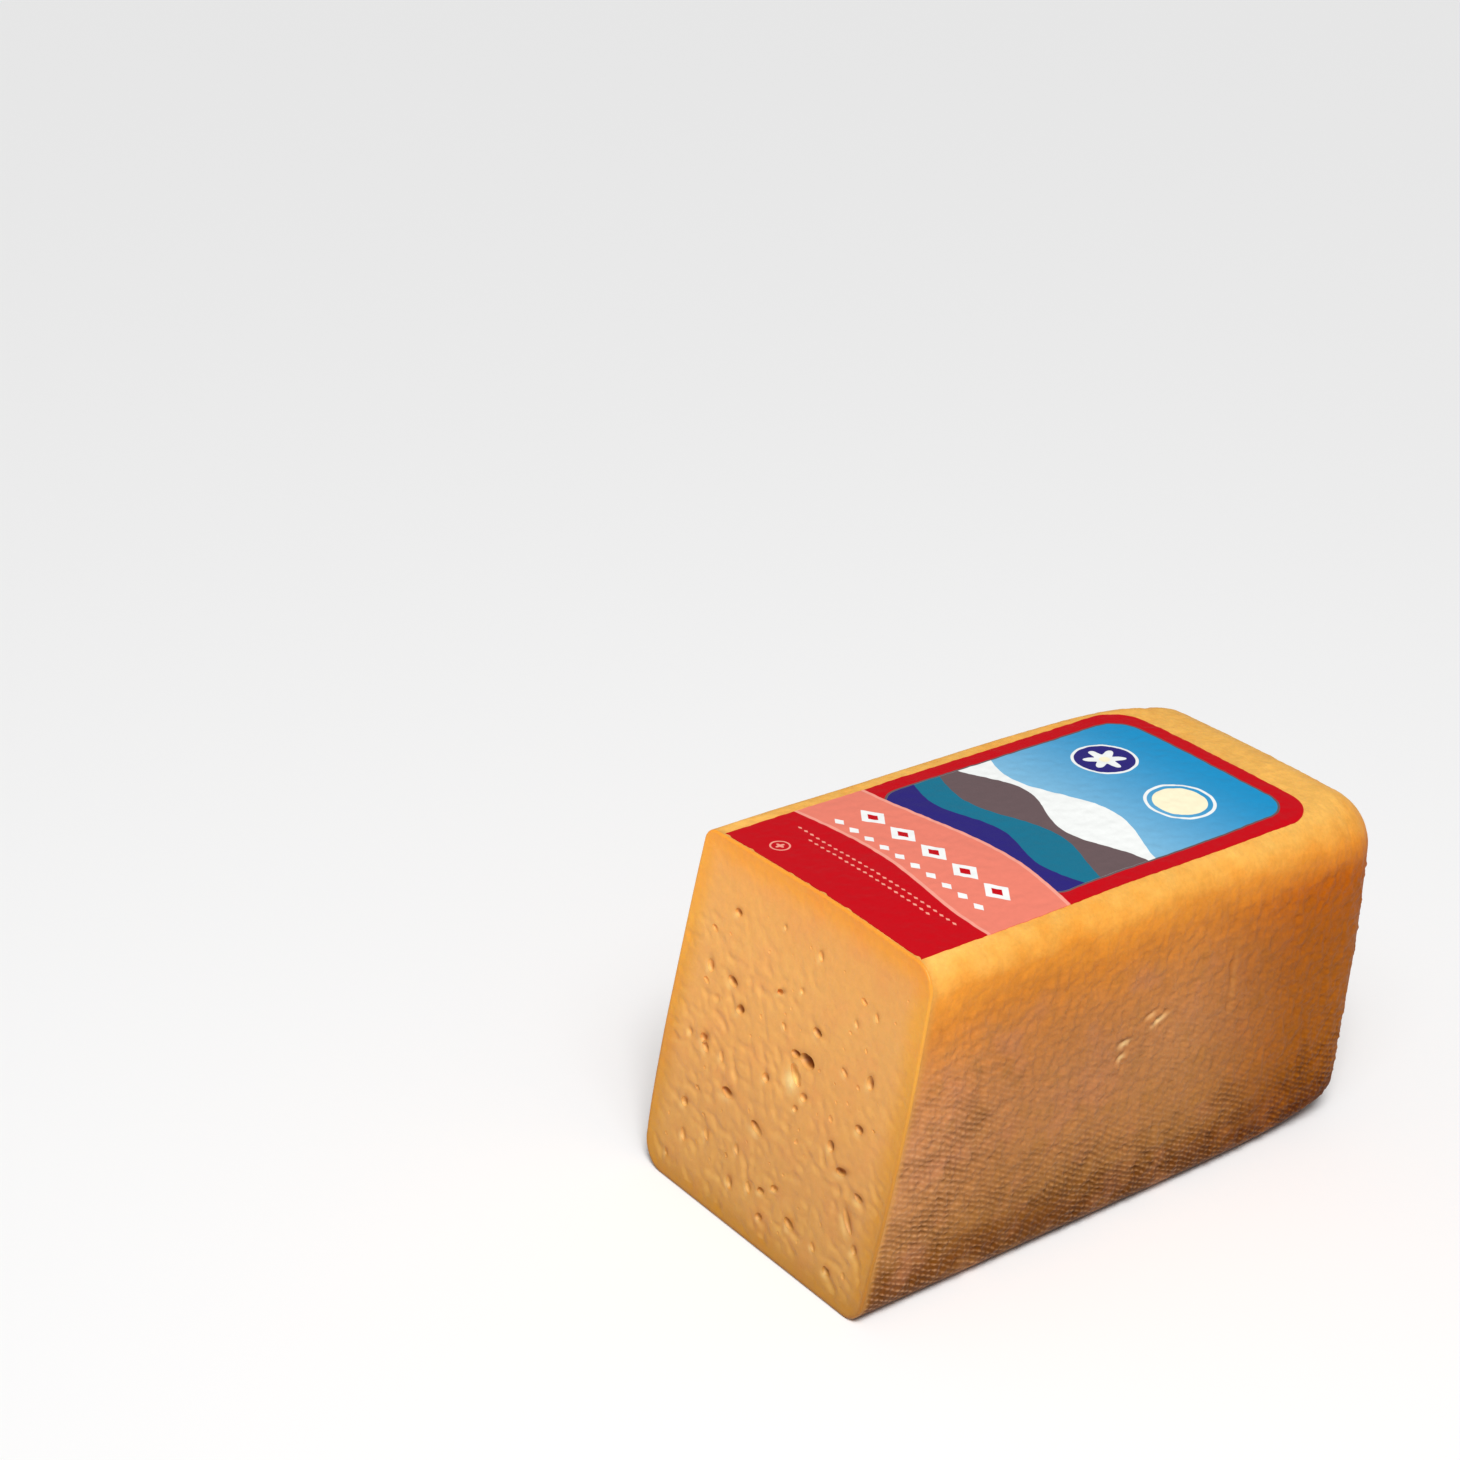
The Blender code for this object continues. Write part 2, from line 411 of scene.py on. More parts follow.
@dataclass(frozen=True)
class Wiring:
    """Adds nodes to a tree and joins them."""

    tree: Tree

    def node(self, kind: str, **settings: object) -> Node:
        """Adds a node.

        Args:
            kind: Blender's name for the node's type.
            settings: The node's own settings, by name.

        Returns:
            The new node.
        """
        made = self.tree.nodes.new(kind)
        for name, value in settings.items():
            setattr(made, name, value)
        return made

    def feed(self, target: Socket, value: object) -> None:
        """Gives an input its value.

        Args:
            target: The input.
            value: Another socket, which is linked, or a plain value.
        """
        if isinstance(value, Socket):
            self.tree.links.new(value, target)
        else:
            target.default_value = value

    def math(self, operation: str, *values: Number, clamp: bool = False) -> Socket:
        """Adds a sum, product or the like.

        Args:
            operation: Blender's name for the operation.
            values: What it works on, as sockets or numbers.
            clamp: Whether the result is held between 0 and 1.

        Returns:
            The result's socket.
        """
        made = self.node("ShaderNodeMath", operation=operation, use_clamp=clamp)
        for target, value in zip(made.inputs, values):
            self.feed(target, value)
        return made.outputs[0]

    def plus(self, first: Number, second: Number) -> Socket:
        """Adds two values."""
        return self.math("ADD", first, second)

    def minus(self, first: Number, second: Number) -> Socket:
        """Takes the second value from the first."""
        return self.math("SUBTRACT", first, second)

    def times(self, first: Number, second: Number) -> Socket:
        """Multiplies two values."""
        return self.math("MULTIPLY", first, second)

    def held(self, value: Number, factor: float) -> Socket:
        """Multiplies a value, and holds the result between 0 and 1."""
        return self.math("MULTIPLY", value, factor, clamp=True)

    def scaled(self, value: Number, factor: Number, offset: Number) -> Socket:
        """Multiplies a value and adds an offset."""
        return self.math("MULTIPLY_ADD", value, factor, offset)

    def ease(self, value: Number, low: float, high: float) -> Socket:
        """Eases a value from 0 to 1.

        Args:
            value: The value.
            low: Where the result is 0.
            high: Where the result is 1.

        Returns:
            The result's socket.
        """
        made = self.node("ShaderNodeMapRange", interpolation_type="SMOOTHSTEP")
        for name, given in (("Value", value), ("From Min", low), ("From Max", high)):
            self.feed(made.inputs[name], given)
        return made.outputs[0]

    def fade(self, value: Number, low: float, high: float) -> Socket:
        """Eases a value to 1 at low and 0 at high."""
        return self.minus(1.0, self.ease(value, low, high))

    def noise(self, place: Number, grain: Grain) -> Socket:
        """Adds a noise.

        Args:
            place: The socket with the places that it is read at.
            grain: How fine the noise is, and the values that it gives.

        Returns:
            The noise's socket.
        """
        made = self.node("ShaderNodeTexNoise", noise_dimensions="4D")
        given = {"Vector": place, "Scale": grain.scale, "Detail": grain.detail, "W": grain.seed}
        for name, value in given.items():
            self.feed(made.inputs[name], value)
        return self.scaled(made.outputs[0], grain.spread, grain.middle - grain.spread / 2)

    def patches(self, place: Number, patch: Patch) -> Socket:
        """Adds soft patches at the socket's places."""
        return self.times(self.ease(self.noise(place, patch.grain), *patch.span), patch.share)

    def ramp(self, value: Number, stops: tuple[tuple[float, Colour], ...]) -> Socket:
        """Turns a value into a colour between named stops.

        Args:
            value: The value, from 0 to 1.
            stops: The value and colour of each stop, in order.

        Returns:
            The colour's socket.
        """
        made = self.node("ShaderNodeValToRGB")
        elements = made.color_ramp.elements
        while len(elements) < len(stops):
            elements.new(stops[len(elements) - 1][0])
        for element, (position, colour) in zip(elements, stops):
            element.position = position
            element.color = (*colour, 1)
        self.feed(made.inputs[0], value)
        return made.outputs[0]

    def mix(self, share: Number, first: object, second: object, way: str = "MIX") -> Socket:
        """Mixes two colours.

        Args:
            share: How much of the second colour there is.
            first: The first colour or its socket.
            second: The second colour or its socket.
            way: Blender's name for the way of mixing.

        Returns:
            The mixed colour's socket.
        """
        made = self.node("ShaderNodeMix", data_type="RGBA", blend_type=way)
        self.feed(made.inputs[0], share)
        for target, given in ((made.inputs[6], first), (made.inputs[7], second)):
            self.feed(target, (*given, 1) if isinstance(given, tuple) else given)
        return made.outputs[2]

    def tinted(self, colour: Socket, tint: Colour) -> Socket:
        """Multiplies a colour by a tint."""
        return self.mix(1.0, colour, tint, "MULTIPLY")

    def shaded(self, colour: Socket, shade: Socket) -> Socket:
        """Multiplies a colour by a shade of grey.

        Args:
            colour: The colour's socket.
            shade: The shade's socket, 1 where the colour stays as it is.

        Returns:
            The shaded colour's socket.
        """
        grey = self.node("ShaderNodeCombineColor")
        for target in grey.inputs:
            self.feed(target, shade)
        return self.mix(1.0, colour, grey.outputs[0], "MULTIPLY")

    def attribute(self, name: str) -> Socket:
        """Reads a number that the mesh carries, in a material."""
        return self.node("ShaderNodeAttribute", attribute_name=name).outputs["Fac"]

    def place(self) -> tuple[Socket, ...]:
        """Reads where a material's point lies.

        Returns:
            The place's socket, and those of its X, Y and Z.
        """
        place = self.node("ShaderNodeTexCoord").outputs["Object"]
        split = self.node("ShaderNodeSeparateXYZ")
        self.feed(split.inputs[0], place)
        return place, *split.outputs


@dataclass(frozen=True)
class Finish:
    """A surface: its gloss, its relief and how far light goes into it. Each kind adds its colour."""

    name: str
    roughness: float
    mirror: float = 0.5
    depth_share: float = 0.0
    depth_scale: float = 0.003
    depth_colour: Colour = (1.0, 0.45, 0.15)
    sheen_tint: Colour = (1.0, 1.0, 1.0)
    relief_height: float = 0.0002
    relief_share: float = 0.8

    def material(self) -> Material:
        """Makes the material.

        Returns:
            The material, with its colour, roughness and relief joined to its shader.
        """
        made = bpy.data.materials.new(self.name)
        made.use_nodes = True
        shader = made.node_tree.nodes["Principled BSDF"]
        values = {
            "Roughness": self.roughness,
            "Specular IOR Level": self.mirror,
            "Specular Tint": (*self.sheen_tint, 1),
            "Subsurface Weight": self.depth_share,
            "Subsurface Scale": self.depth_scale,
            "Subsurface Radius": self.depth_colour,
        }
        for name, value in values.items():
            shader.inputs[name].default_value = value
        self.dress(Wiring(made.node_tree), shader)
        return made

    def dress(self, wiring: Wiring, shader: Node) -> None:
        """Joins the finish's own colour, roughness and relief to the shader."""
        raise NotImplementedError

    def roughen(self, wiring: Wiring, shader: Node, place: Socket, grain: Grain) -> None:
        """Joins a roughness that varies about the finish's own to the shader.

        Args:
            wiring: The material's nodes.
            shader: The shader.
            place: The socket with the places.
            grain: The noise that the roughness varies by.
        """
        gloss = wiring.noise(place, replace(grain, middle=self.roughness))
        wiring.feed(shader.inputs["Roughness"], gloss)

    def relief(self, wiring: Wiring, shader: Node, height: Number) -> None:
        """Joins a fine relief to the shader.

        Args:
            wiring: The material's nodes.
            shader: The shader.
            height: The relief's height, as a share of its full height.
        """
        bump = wiring.node("ShaderNodeBump")
        bump.inputs["Distance"].default_value = self.relief_height
        bump.inputs["Strength"].default_value = self.relief_share
        wiring.feed(bump.inputs["Height"], height)
        wiring.feed(shader.inputs["Normal"], bump.outputs[0])


@dataclass(frozen=True)
class RindFinish(Finish):
    """Washed rind: yellow on top and round the shoulders, tan on the sides, dark at the foot."""

    loaf_height: float = 0.105
    # Darker towards the foot: partly the rind's own dark brown edge, partly painted shade.
    stops: tuple[tuple[float, Colour], ...] = (
        (0.00, from_screen(112, 62, 20)),
        (0.03, from_screen(92, 50, 9)),
        (0.09, from_screen(114, 62, 12)),
        (0.14, from_screen(133, 81, 28)),
        (0.19, from_screen(164, 110, 55)),
        (0.30, from_screen(177, 119, 66)),
        (0.52, from_screen(184, 122, 72)),
        (0.70, from_screen(189, 120, 60)),
        (0.82, from_screen(203, 124, 45)),
        (0.90, from_screen(226, 142, 47)),
        (0.95, from_screen(232, 162, 70)),
        (1.00, from_screen(236, 178, 88)),
    )
    broad_wave: Grain = Grain(34, 3, 1, spread=0.014, middle=0.0)
    fine_wave: Grain = Grain(150, 4, 9, spread=0.010, middle=0.0)
    wavy_from: Span = (0.006, 0.030)
    side_end: Span = (0.072, 0.092)
    rosy: Colour = from_screen(190, 124, 84)
    rosy_patches: Patch = Patch(Grain(75, 4, 2), (0.50, 0.70), 0.45)
    olive: Colour = from_screen(166, 112, 52)
    olive_patches: Patch = Patch(Grain(120, 4, 3), (0.50, 0.70), 0.40)
    # Painted highlight on the weave's ridges and painted shade in its valleys; the valley colour is
    # also the painted shade above the scars.
    ridge: Colour = from_screen(208, 155, 106)
    ridge_span: Span = (0.45, 1.0)
    ridge_share: float = 0.52
    valley: Colour = from_screen(90, 48, 16)
    valley_share: float = 0.86
    near_cut: Colour = (1.26, 1.31, 1.56)
    near_cut_span: Span = (0.0, 0.045)
    near_cut_above: float = 0.4
    by_cut: Colour = from_screen(216, 152, 74)
    by_cut_span: Span = (0.0008, 0.0034)
    by_cut_share: float = 0.55
    # A scar is paler below its middle, partly its own cream colour and partly painted highlight, and
    # darker above it, which is painted shade, as if lit from above.
    scar: Colour = from_screen(246, 208, 146)
    scar_share: float = 0.8
    scar_shade_share: float = 0.9
    # Browner and darker towards the far end below the shoulder: partly the rind's own tone, partly
    # painted shade of the light falling off along the loaf.
    turned: Colour = (0.76, 0.51, 0.09)
    shades: tuple[Grain, ...] = (
        Grain(900, 3, 4, spread=0.26, middle=1.0),
        Grain(40, 2, 5, spread=0.24, middle=1.0),
        Grain(330, 2, 10, spread=0.30, middle=1.0),
    )
    gloss: Grain = Grain(260, 3, 6, spread=0.34)
    fine_relief: Grain = Grain(1500, 4, 7)
    broad_relief: Grain = Grain(330, 2, 8, spread=2.4, middle=1.2)
    relief_height: float = 0.00016

    def dress(self, wiring: Wiring, shader: Node) -> None:
        """Joins the rind's colour, roughness and fine relief to the shader.

        Args:
            wiring: The material's nodes.
            shader: The shader.
        """
        place, _, _, above = wiring.place()
        wave = wiring.plus(wiring.noise(place, self.broad_wave), wiring.noise(place, self.fine_wave))
        height = wiring.scaled(wave, wiring.ease(above, *self.wavy_from), above)
        on_side = wiring.fade(height, *self.side_end)
        colour = wiring.ramp(wiring.math("DIVIDE", height, self.loaf_height), self.stops)
        for patch, tint in ((self.rosy_patches, self.rosy), (self.olive_patches, self.olive)):
            colour = wiring.mix(wiring.times(on_side, wiring.patches(place, patch)), colour, tint)
        colour = self.marked(wiring, self.near_the_cut(wiring, self.woven(wiring, colour), on_side))
        for shade in self.shades:
            colour = wiring.shaded(colour, wiring.noise(place, shade))
        wiring.feed(shader.inputs["Base Color"], colour)
        self.roughen(wiring, shader, place, self.gloss)
        fine = wiring.noise(place, self.fine_relief)
        height = wiring.plus(fine, wiring.noise(place, self.broad_relief))
        self.relief(wiring, shader, height)

    def woven(self, wiring: Wiring, colour: Socket) -> Socket:
        """Makes the weave's ridges pale with painted highlight and its valleys dark with painted
        shade.

        Args:
            wiring: The material's nodes.
            colour: The colour's socket.

        Returns:
            The new colour's socket.
        """
        ridge = wiring.ease(wiring.attribute("height"), *self.ridge_span)
        ridge = wiring.times(ridge, wiring.attribute("pressure"))
        colour = wiring.mix(wiring.times(ridge, self.ridge_share), colour, self.ridge)
        valley = wiring.held(wiring.attribute("imprint"), self.valley_share)
        return wiring.mix(valley, colour, self.valley)

    def near_the_cut(self, wiring: Wiring, colour: Socket, on_side: Socket) -> Socket:
        """Makes the rind paler towards the cut, and like the paste right at it.

        Args:
            wiring: The material's nodes.
            colour: The colour's socket.
            on_side: The socket that is 1 on the sides and 0 on the top.

        Returns:
            The new colour's socket.
        """
        from_cut = wiring.attribute("from_cut")
        share = wiring.scaled(on_side, 1 - self.near_cut_above, self.near_cut_above)
        near = wiring.times(wiring.fade(from_cut, *self.near_cut_span), share)
        colour = wiring.mix(near, colour, wiring.tinted(colour, self.near_cut))
        edge = wiring.fade(from_cut, *self.by_cut_span)
        return wiring.mix(wiring.times(edge, self.by_cut_share), colour, self.by_cut)

    def marked(self, wiring: Wiring, colour: Socket) -> Socket:
        """Colours the scars, pale below and with painted shade above, and the far corners, browner and
        darker partly as painted shade.

        Args:
            wiring: The material's nodes.
            colour: The colour's socket.

        Returns:
            The new colour's socket.
        """
        scar = wiring.attribute("scar")
        colour = wiring.mix(wiring.held(scar, self.scar_share), colour, self.scar)
        colour = wiring.mix(wiring.held(scar, -self.scar_shade_share), colour, self.valley)
        return wiring.mix(wiring.attribute("turned"), colour, wiring.tinted(colour, self.turned))


@dataclass(frozen=True)
class PasteFinish(Finish):
    """The cut cheese: pale orange, with a yellower band and a thin dark line at the rind."""

    loaf_height: float = 0.105
    # Darker towards the foot of the cut: painted shade, standing in for the light falling off down the
    # face.
    stops: tuple[tuple[float, Colour], ...] = (
        (0.00, from_screen(186, 132, 62)),
        (0.10, from_screen(207, 148, 71)),
        (0.28, from_screen(216, 153, 79)),
        (0.48, from_screen(230, 163, 84)),
        (0.75, from_screen(238, 171, 90)),
        (0.88, from_screen(240, 169, 86)),
        (1.00, from_screen(246, 160, 74)),
    )
    rosy: Colour = (1.0, 0.93, 0.98)
    rosy_patches: Patch = Patch(Grain(90, 3, 11), (0.48, 0.70), 0.8)
    band: Colour = (0.94, 0.87, 0.43)
    band_span: Span = (0.0020, 0.0098)
    band_waver: Grain = Grain(110, 2, 12, spread=0.004, middle=0.0)
    high_band: Colour = (1.10, 1.12, 1.14)
    high_span: Span = (0.055, 0.090)
    line: Colour = (0.62, 0.50, 0.30)
    line_span: Span = (0.0003, 0.0016)
    line_low_span: Span = (0.010, 0.085)
    line_share: float = 0.05
    line_low_share: float = 0.50
    # The eyes' shallow walls are paler, partly their smooth moist surface and partly painted
    # highlight; their deep floors are darker, which is painted shade.
    wall: Colour = (1.04, 1.08, 1.16)
    wall_span: Span = (0.00005, 0.0004)
    deep: Colour = (0.44, 0.28, 0.13)
    deep_span: Span = (0.0005, 0.0017)
    # Painted highlight at the low left of the eyes and dents, and painted shade at their high right,
    # as if lit from the upper right.
    lit: Colour = from_screen(252, 216, 140)
    shade: Colour = from_screen(172, 102, 40)
    grain: Grain = Grain(500, 3, 13, spread=0.16, middle=1.0)
    # Painted light across the cut: the paste is made lighter to the left and darker to the right, as a
    # soft lamp would leave it.
    painted_light_slope: float = -1.1
    painted_light_middle: float = 1.01
    gloss: Grain = Grain(180, 3, 14, spread=0.30)
    fine_relief: Grain = Grain(1300, 4, 15)
    broad_relief: Grain = Grain(420, 2, 16, spread=2.2, middle=1.1)
    relief_height: float = 0.00014

    def dress(self, wiring: Wiring, shader: Node) -> None:
        """Joins the paste's colour, roughness and fine relief to the shader.

        Args:
            wiring: The material's nodes.
            shader: The shader.
        """
        place, across, _, above = wiring.place()
        colour = wiring.ramp(wiring.math("DIVIDE", above, self.loaf_height), self.stops)
        colour = self.zoned(wiring, colour, place, above)
        # Painted highlight where the carried value is above 0, and painted shade where it is below 0.
        lit = wiring.attribute("lit")
        colour = wiring.mix(wiring.held(lit, 1.0), colour, self.lit)
        colour = wiring.mix(wiring.held(lit, -1.0), colour, self.shade)
        # Painted light: the fine grain is lighter to the left and darker to the right.
        lift = wiring.scaled(across, self.painted_light_slope, self.painted_light_middle)
        colour = wiring.shaded(colour, wiring.times(wiring.noise(place, self.grain), lift))
        wiring.feed(shader.inputs["Base Color"], colour)
        self.roughen(wiring, shader, place, self.gloss)
        fine = wiring.noise(place, self.fine_relief)
        height = wiring.plus(fine, wiring.noise(place, self.broad_relief))
        self.relief(wiring, shader, height)

    def zoned(self, wiring: Wiring, colour: Socket, place: Socket, above: Socket) -> Socket:
        """Tints the patches, the band and the line along the rind, and the eyes' walls and floors:
        paler walls partly as painted highlight, darker floors as painted shade.

        Args:
            wiring: The material's nodes.
            colour: The colour's socket.
            place: The socket with the places.
            above: The socket with the height.

        Returns:
            The new colour's socket.
        """
        rim = wiring.attribute("rim")
        sunk = wiring.attribute("sunk")
        band = wiring.fade(wiring.plus(rim, wiring.noise(place, self.band_waver)), *self.band_span)
        low = wiring.fade(above, *self.line_low_span)
        low = wiring.scaled(low, self.line_low_share, self.line_share)
        zones = (
            (wiring.patches(place, self.rosy_patches), self.rosy),
            (band, self.band),
            (wiring.times(band, wiring.ease(above, *self.high_span)), self.high_band),
            (wiring.times(wiring.fade(rim, *self.line_span), low), self.line),
            # Paler eye walls, partly painted highlight, and darker eye floors, painted shade.
            (wiring.ease(sunk, *self.wall_span), self.wall),
            (wiring.ease(sunk, *self.deep_span), self.deep),
        )
        for share, tint in zones:
            colour = wiring.mix(share, colour, wiring.tinted(colour, tint))
        return colour


class PrintKind(Enum):
    """The plain shapes that the label's print is made of."""

    PANEL = "a rectangle with round corners"
    RING = "a ring, or a disc where it is as wide as its radius"
    WAVE = "everything nearer the cut than a wavy line"
    LOZENGES = "a row of lozenges"
    FLOWER = "a flower with round petals"


@dataclass(frozen=True)
class PrintShape:
    """One shape of the print, in millimetres from the middle of the label's cut edge."""

    kind: PrintKind
    colour: Colour
    across: float = 0.0
    along: float = 0.0
    size: tuple[float, float] = (1.0, 1.0)
    detail: float = 0.0
    count: int = 1
    inside: int | None = None
    far_colour: Colour | None = None


@dataclass(frozen=True)
class PrintFinish(Finish):
    """Coated paper with a print of plain shapes, drawn one over another."""

    ground: Colour = (1.0, 1.0, 1.0)
    origin: tuple[float, float] = (0.0, 0.0)
    softness: float = 0.12
    shapes: tuple[PrintShape, ...] = ()
    paper: Grain = Grain(700, 2, 21, spread=0.10, middle=1.0)
    gloss: Grain = Grain(120, 3, 22, spread=0.14)
    ripple: Grain = Grain(60, 2, 23)
    fibre: Grain = Grain(1800, 2, 24, spread=0.12, middle=0.06)
    relief_share: float = 0.5

    def distance(self, wiring: Wiring, shape: PrintShape, across: Number, along: Number) -> Socket:
        """Measures how far outside a shape each place lies, in millimetres.

        Args:
            wiring: The material's nodes.
            shape: The shape.
            across: The place across the label.
            along: The place along the label.

        Returns:
            The distance's socket, below 0 inside the shape.
        """
        right = wiring.minus(across, shape.across)
        up = wiring.minus(along, shape.along)
        first, second = shape.size
        if shape.kind is PrintKind.PANEL:
            return self.panel(wiring, shape, right, up)
        if shape.kind is PrintKind.RING:
            reach = wiring.minus(self.length(wiring, right, up), first - second / 2)
            return wiring.minus(wiring.math("ABSOLUTE", reach), second / 2)
        if shape.kind is PrintKind.WAVE:
            turn = wiring.scaled(right, 2 * math.pi / first, shape.detail)
            return wiring.minus(up, wiring.times(wiring.math("SINE", turn), second))
        if shape.kind is PrintKind.LOZENGES:
            return self.lozenges(wiring, shape, right, up)
        turn = wiring.times(wiring.math("ARCTAN2", up, right), float(shape.count))
        petal = wiring.scaled(wiring.math("COSINE", turn), second, first)
        return wiring.minus(self.length(wiring, right, up), petal)

    def panel(self, wiring: Wiring, shape: PrintShape, right: Number, up: Number) -> Socket:
        """Measures how far outside a round-cornered rectangle each place lies.

        Args:
            wiring: The material's nodes.
            shape: The rectangle: its half sizes, and the radius of its corners as its detail.
            right: The place, to the right of the rectangle's middle.
            up: The place, above its middle.

        Returns:
            The distance's socket, below 0 inside.
        """
        half_width, half_height = shape.size
        wide = wiring.minus(wiring.math("ABSOLUTE", right), half_width - shape.detail)
        high = wiring.minus(wiring.math("ABSOLUTE", up), half_height - shape.detail)
        past_side = wiring.math("MAXIMUM", wide, 0.0)
        outer = self.length(wiring, past_side, wiring.math("MAXIMUM", high, 0.0))
        inner = wiring.math("MINIMUM", wiring.math("MAXIMUM", wide, high), 0.0)
        return wiring.minus(wiring.plus(outer, inner), shape.detail)

    def lozenges(self, wiring: Wiring, shape: PrintShape, right: Number, up: Number) -> Socket:
        """Measures how far outside a row of lozenges each place lies.

        Args:
            wiring: The material's nodes.
            shape: The row: a lozenge's half sizes, how many there are, and their pitch as its detail.
            right: The place, to the right of the row's middle.
            up: The place, above its middle.

        Returns:
            The distance's socket, below 0 inside.
        """
        half_width, half_height = shape.size
        pitch = shape.detail
        offset = pitch / 2 if shape.count % 2 else 0.0
        wrapped = wiring.math("FLOORED_MODULO", wiring.plus(right, offset), pitch)
        near = wiring.math("ABSOLUTE", wiring.minus(wrapped, pitch / 2))
        wide = wiring.math("DIVIDE", near, half_width)
        high = wiring.math("DIVIDE", wiring.math("ABSOLUTE", up), half_height)
        inside = wiring.times(wiring.minus(wiring.plus(wide, high), 1.0), half_height)
        past = wiring.minus(wiring.math("ABSOLUTE", right), pitch * shape.count / 2)
        return wiring.math("MAXIMUM", inside, past)

    def length(self, wiring: Wiring, first: Number, second: Number) -> Socket:
        """Finds the length of a line from its two spans."""
        squares = (wiring.math("POWER", span, 2.0) for span in (first, second))
        return wiring.math("SQRT", wiring.plus(*squares))

    def dress(self, wiring: Wiring, shader: Node) -> None:
        """Draws the print's shapes over the ground, and joins it and the paper's relief.

        Args:
            wiring: The material's nodes.
            shader: The shader.
        """
        place, x, y, _ = wiring.place()
        across = wiring.scaled(x, MILLIMETRES, -MILLIMETRES * self.origin[0])
        along = wiring.scaled(y, MILLIMETRES, -MILLIMETRES * self.origin[1])
        colour: object = self.ground
        covers: list[Socket] = []
        for shape in self.shapes:
            gap = self.distance(wiring, shape, across, along)
            cover = wiring.math("MULTIPLY_ADD", gap, -1 / self.softness, 0.5, clamp=True)
            if shape.inside is not None:
                cover = wiring.times(cover, covers[shape.inside])
            covers.append(cover)
            paint: object = shape.colour
            if shape.far_colour:
                share = wiring.ease(along, shape.along - shape.size[1], shape.along + shape.size[1])
                paint = wiring.mix(share, shape.colour, shape.far_colour)
            colour = wiring.mix(cover, colour, paint)
        colour = wiring.shaded(colour, wiring.noise(place, self.paper))
        wiring.feed(shader.inputs["Base Color"], colour)
        self.roughen(wiring, shader, place, self.gloss)
        height = wiring.plus(wiring.noise(place, self.ripple), wiring.noise(place, self.fibre))
        self.relief(wiring, shader, height)


@dataclass
class ShapeTree:
    """A geometry node tree with named inputs, put on an object and then made plain."""

    name: str
    inputs: tuple[tuple[str, str], ...]
    tree: Tree = field(init=False)
    wiring: Wiring = field(init=False)
    entry: Node = field(init=False)

    def __post_init__(self) -> None:
        """Makes the tree with its inputs and its one output."""
        self.tree = bpy.data.node_groups.new(self.name, "GeometryNodeTree")
        face = self.tree.interface
        face.new_socket("Geometry", in_out="INPUT", socket_type="NodeSocketGeometry")
        for name, kind in self.inputs:
            face.new_socket(name, in_out="INPUT", socket_type=kind)
        face.new_socket("Geometry", in_out="OUTPUT", socket_type="NodeSocketGeometry")
        self.wiring = Wiring(self.tree)
        self.entry = self.wiring.node("NodeGroupInput")

    def end(self, shape: Socket) -> None:
        """Closes the tree: instances are made real and the material is set.

        Args:
            shape: The socket with the finished shape.
        """
        real = self.wiring.node("GeometryNodeRealizeInstances")
        coat = self.wiring.node("GeometryNodeSetMaterial")
        leave = self.wiring.node("NodeGroupOutput")
        self.wiring.feed(real.inputs[0], shape)
        self.wiring.feed(coat.inputs["Geometry"], real.outputs[0])
        self.wiring.feed(coat.inputs["Material"], self.entry.outputs["Material"])
        self.wiring.feed(leave.inputs[0], coat.outputs[0])

    def apply(self, piece: Piece, values: dict[str, object]) -> None:
        """Puts the tree on a piece, and makes the result the piece's own plain mesh.

        Args:
            piece: The piece.
            values: The value of each named input.
        """
        modifier = piece.modifiers.new(self.name, "NODES")
        modifier.node_group = self.tree
        sockets = {item.name: item.identifier for item in self.tree.interface.items_tree}
        for name, value in values.items():
            modifier[sockets[name]] = value
        bpy.context.view_layer.update()
        graph = bpy.context.evaluated_depsgraph_get()
        made = bpy.data.meshes.new_from_object(
            piece.evaluated_get(graph), preserve_all_data_layers=True, depsgraph=graph
        )
        piece.modifiers.clear()
        old = piece.data
        piece.data = made
        made.name = piece.name
        bpy.data.meshes.remove(old)


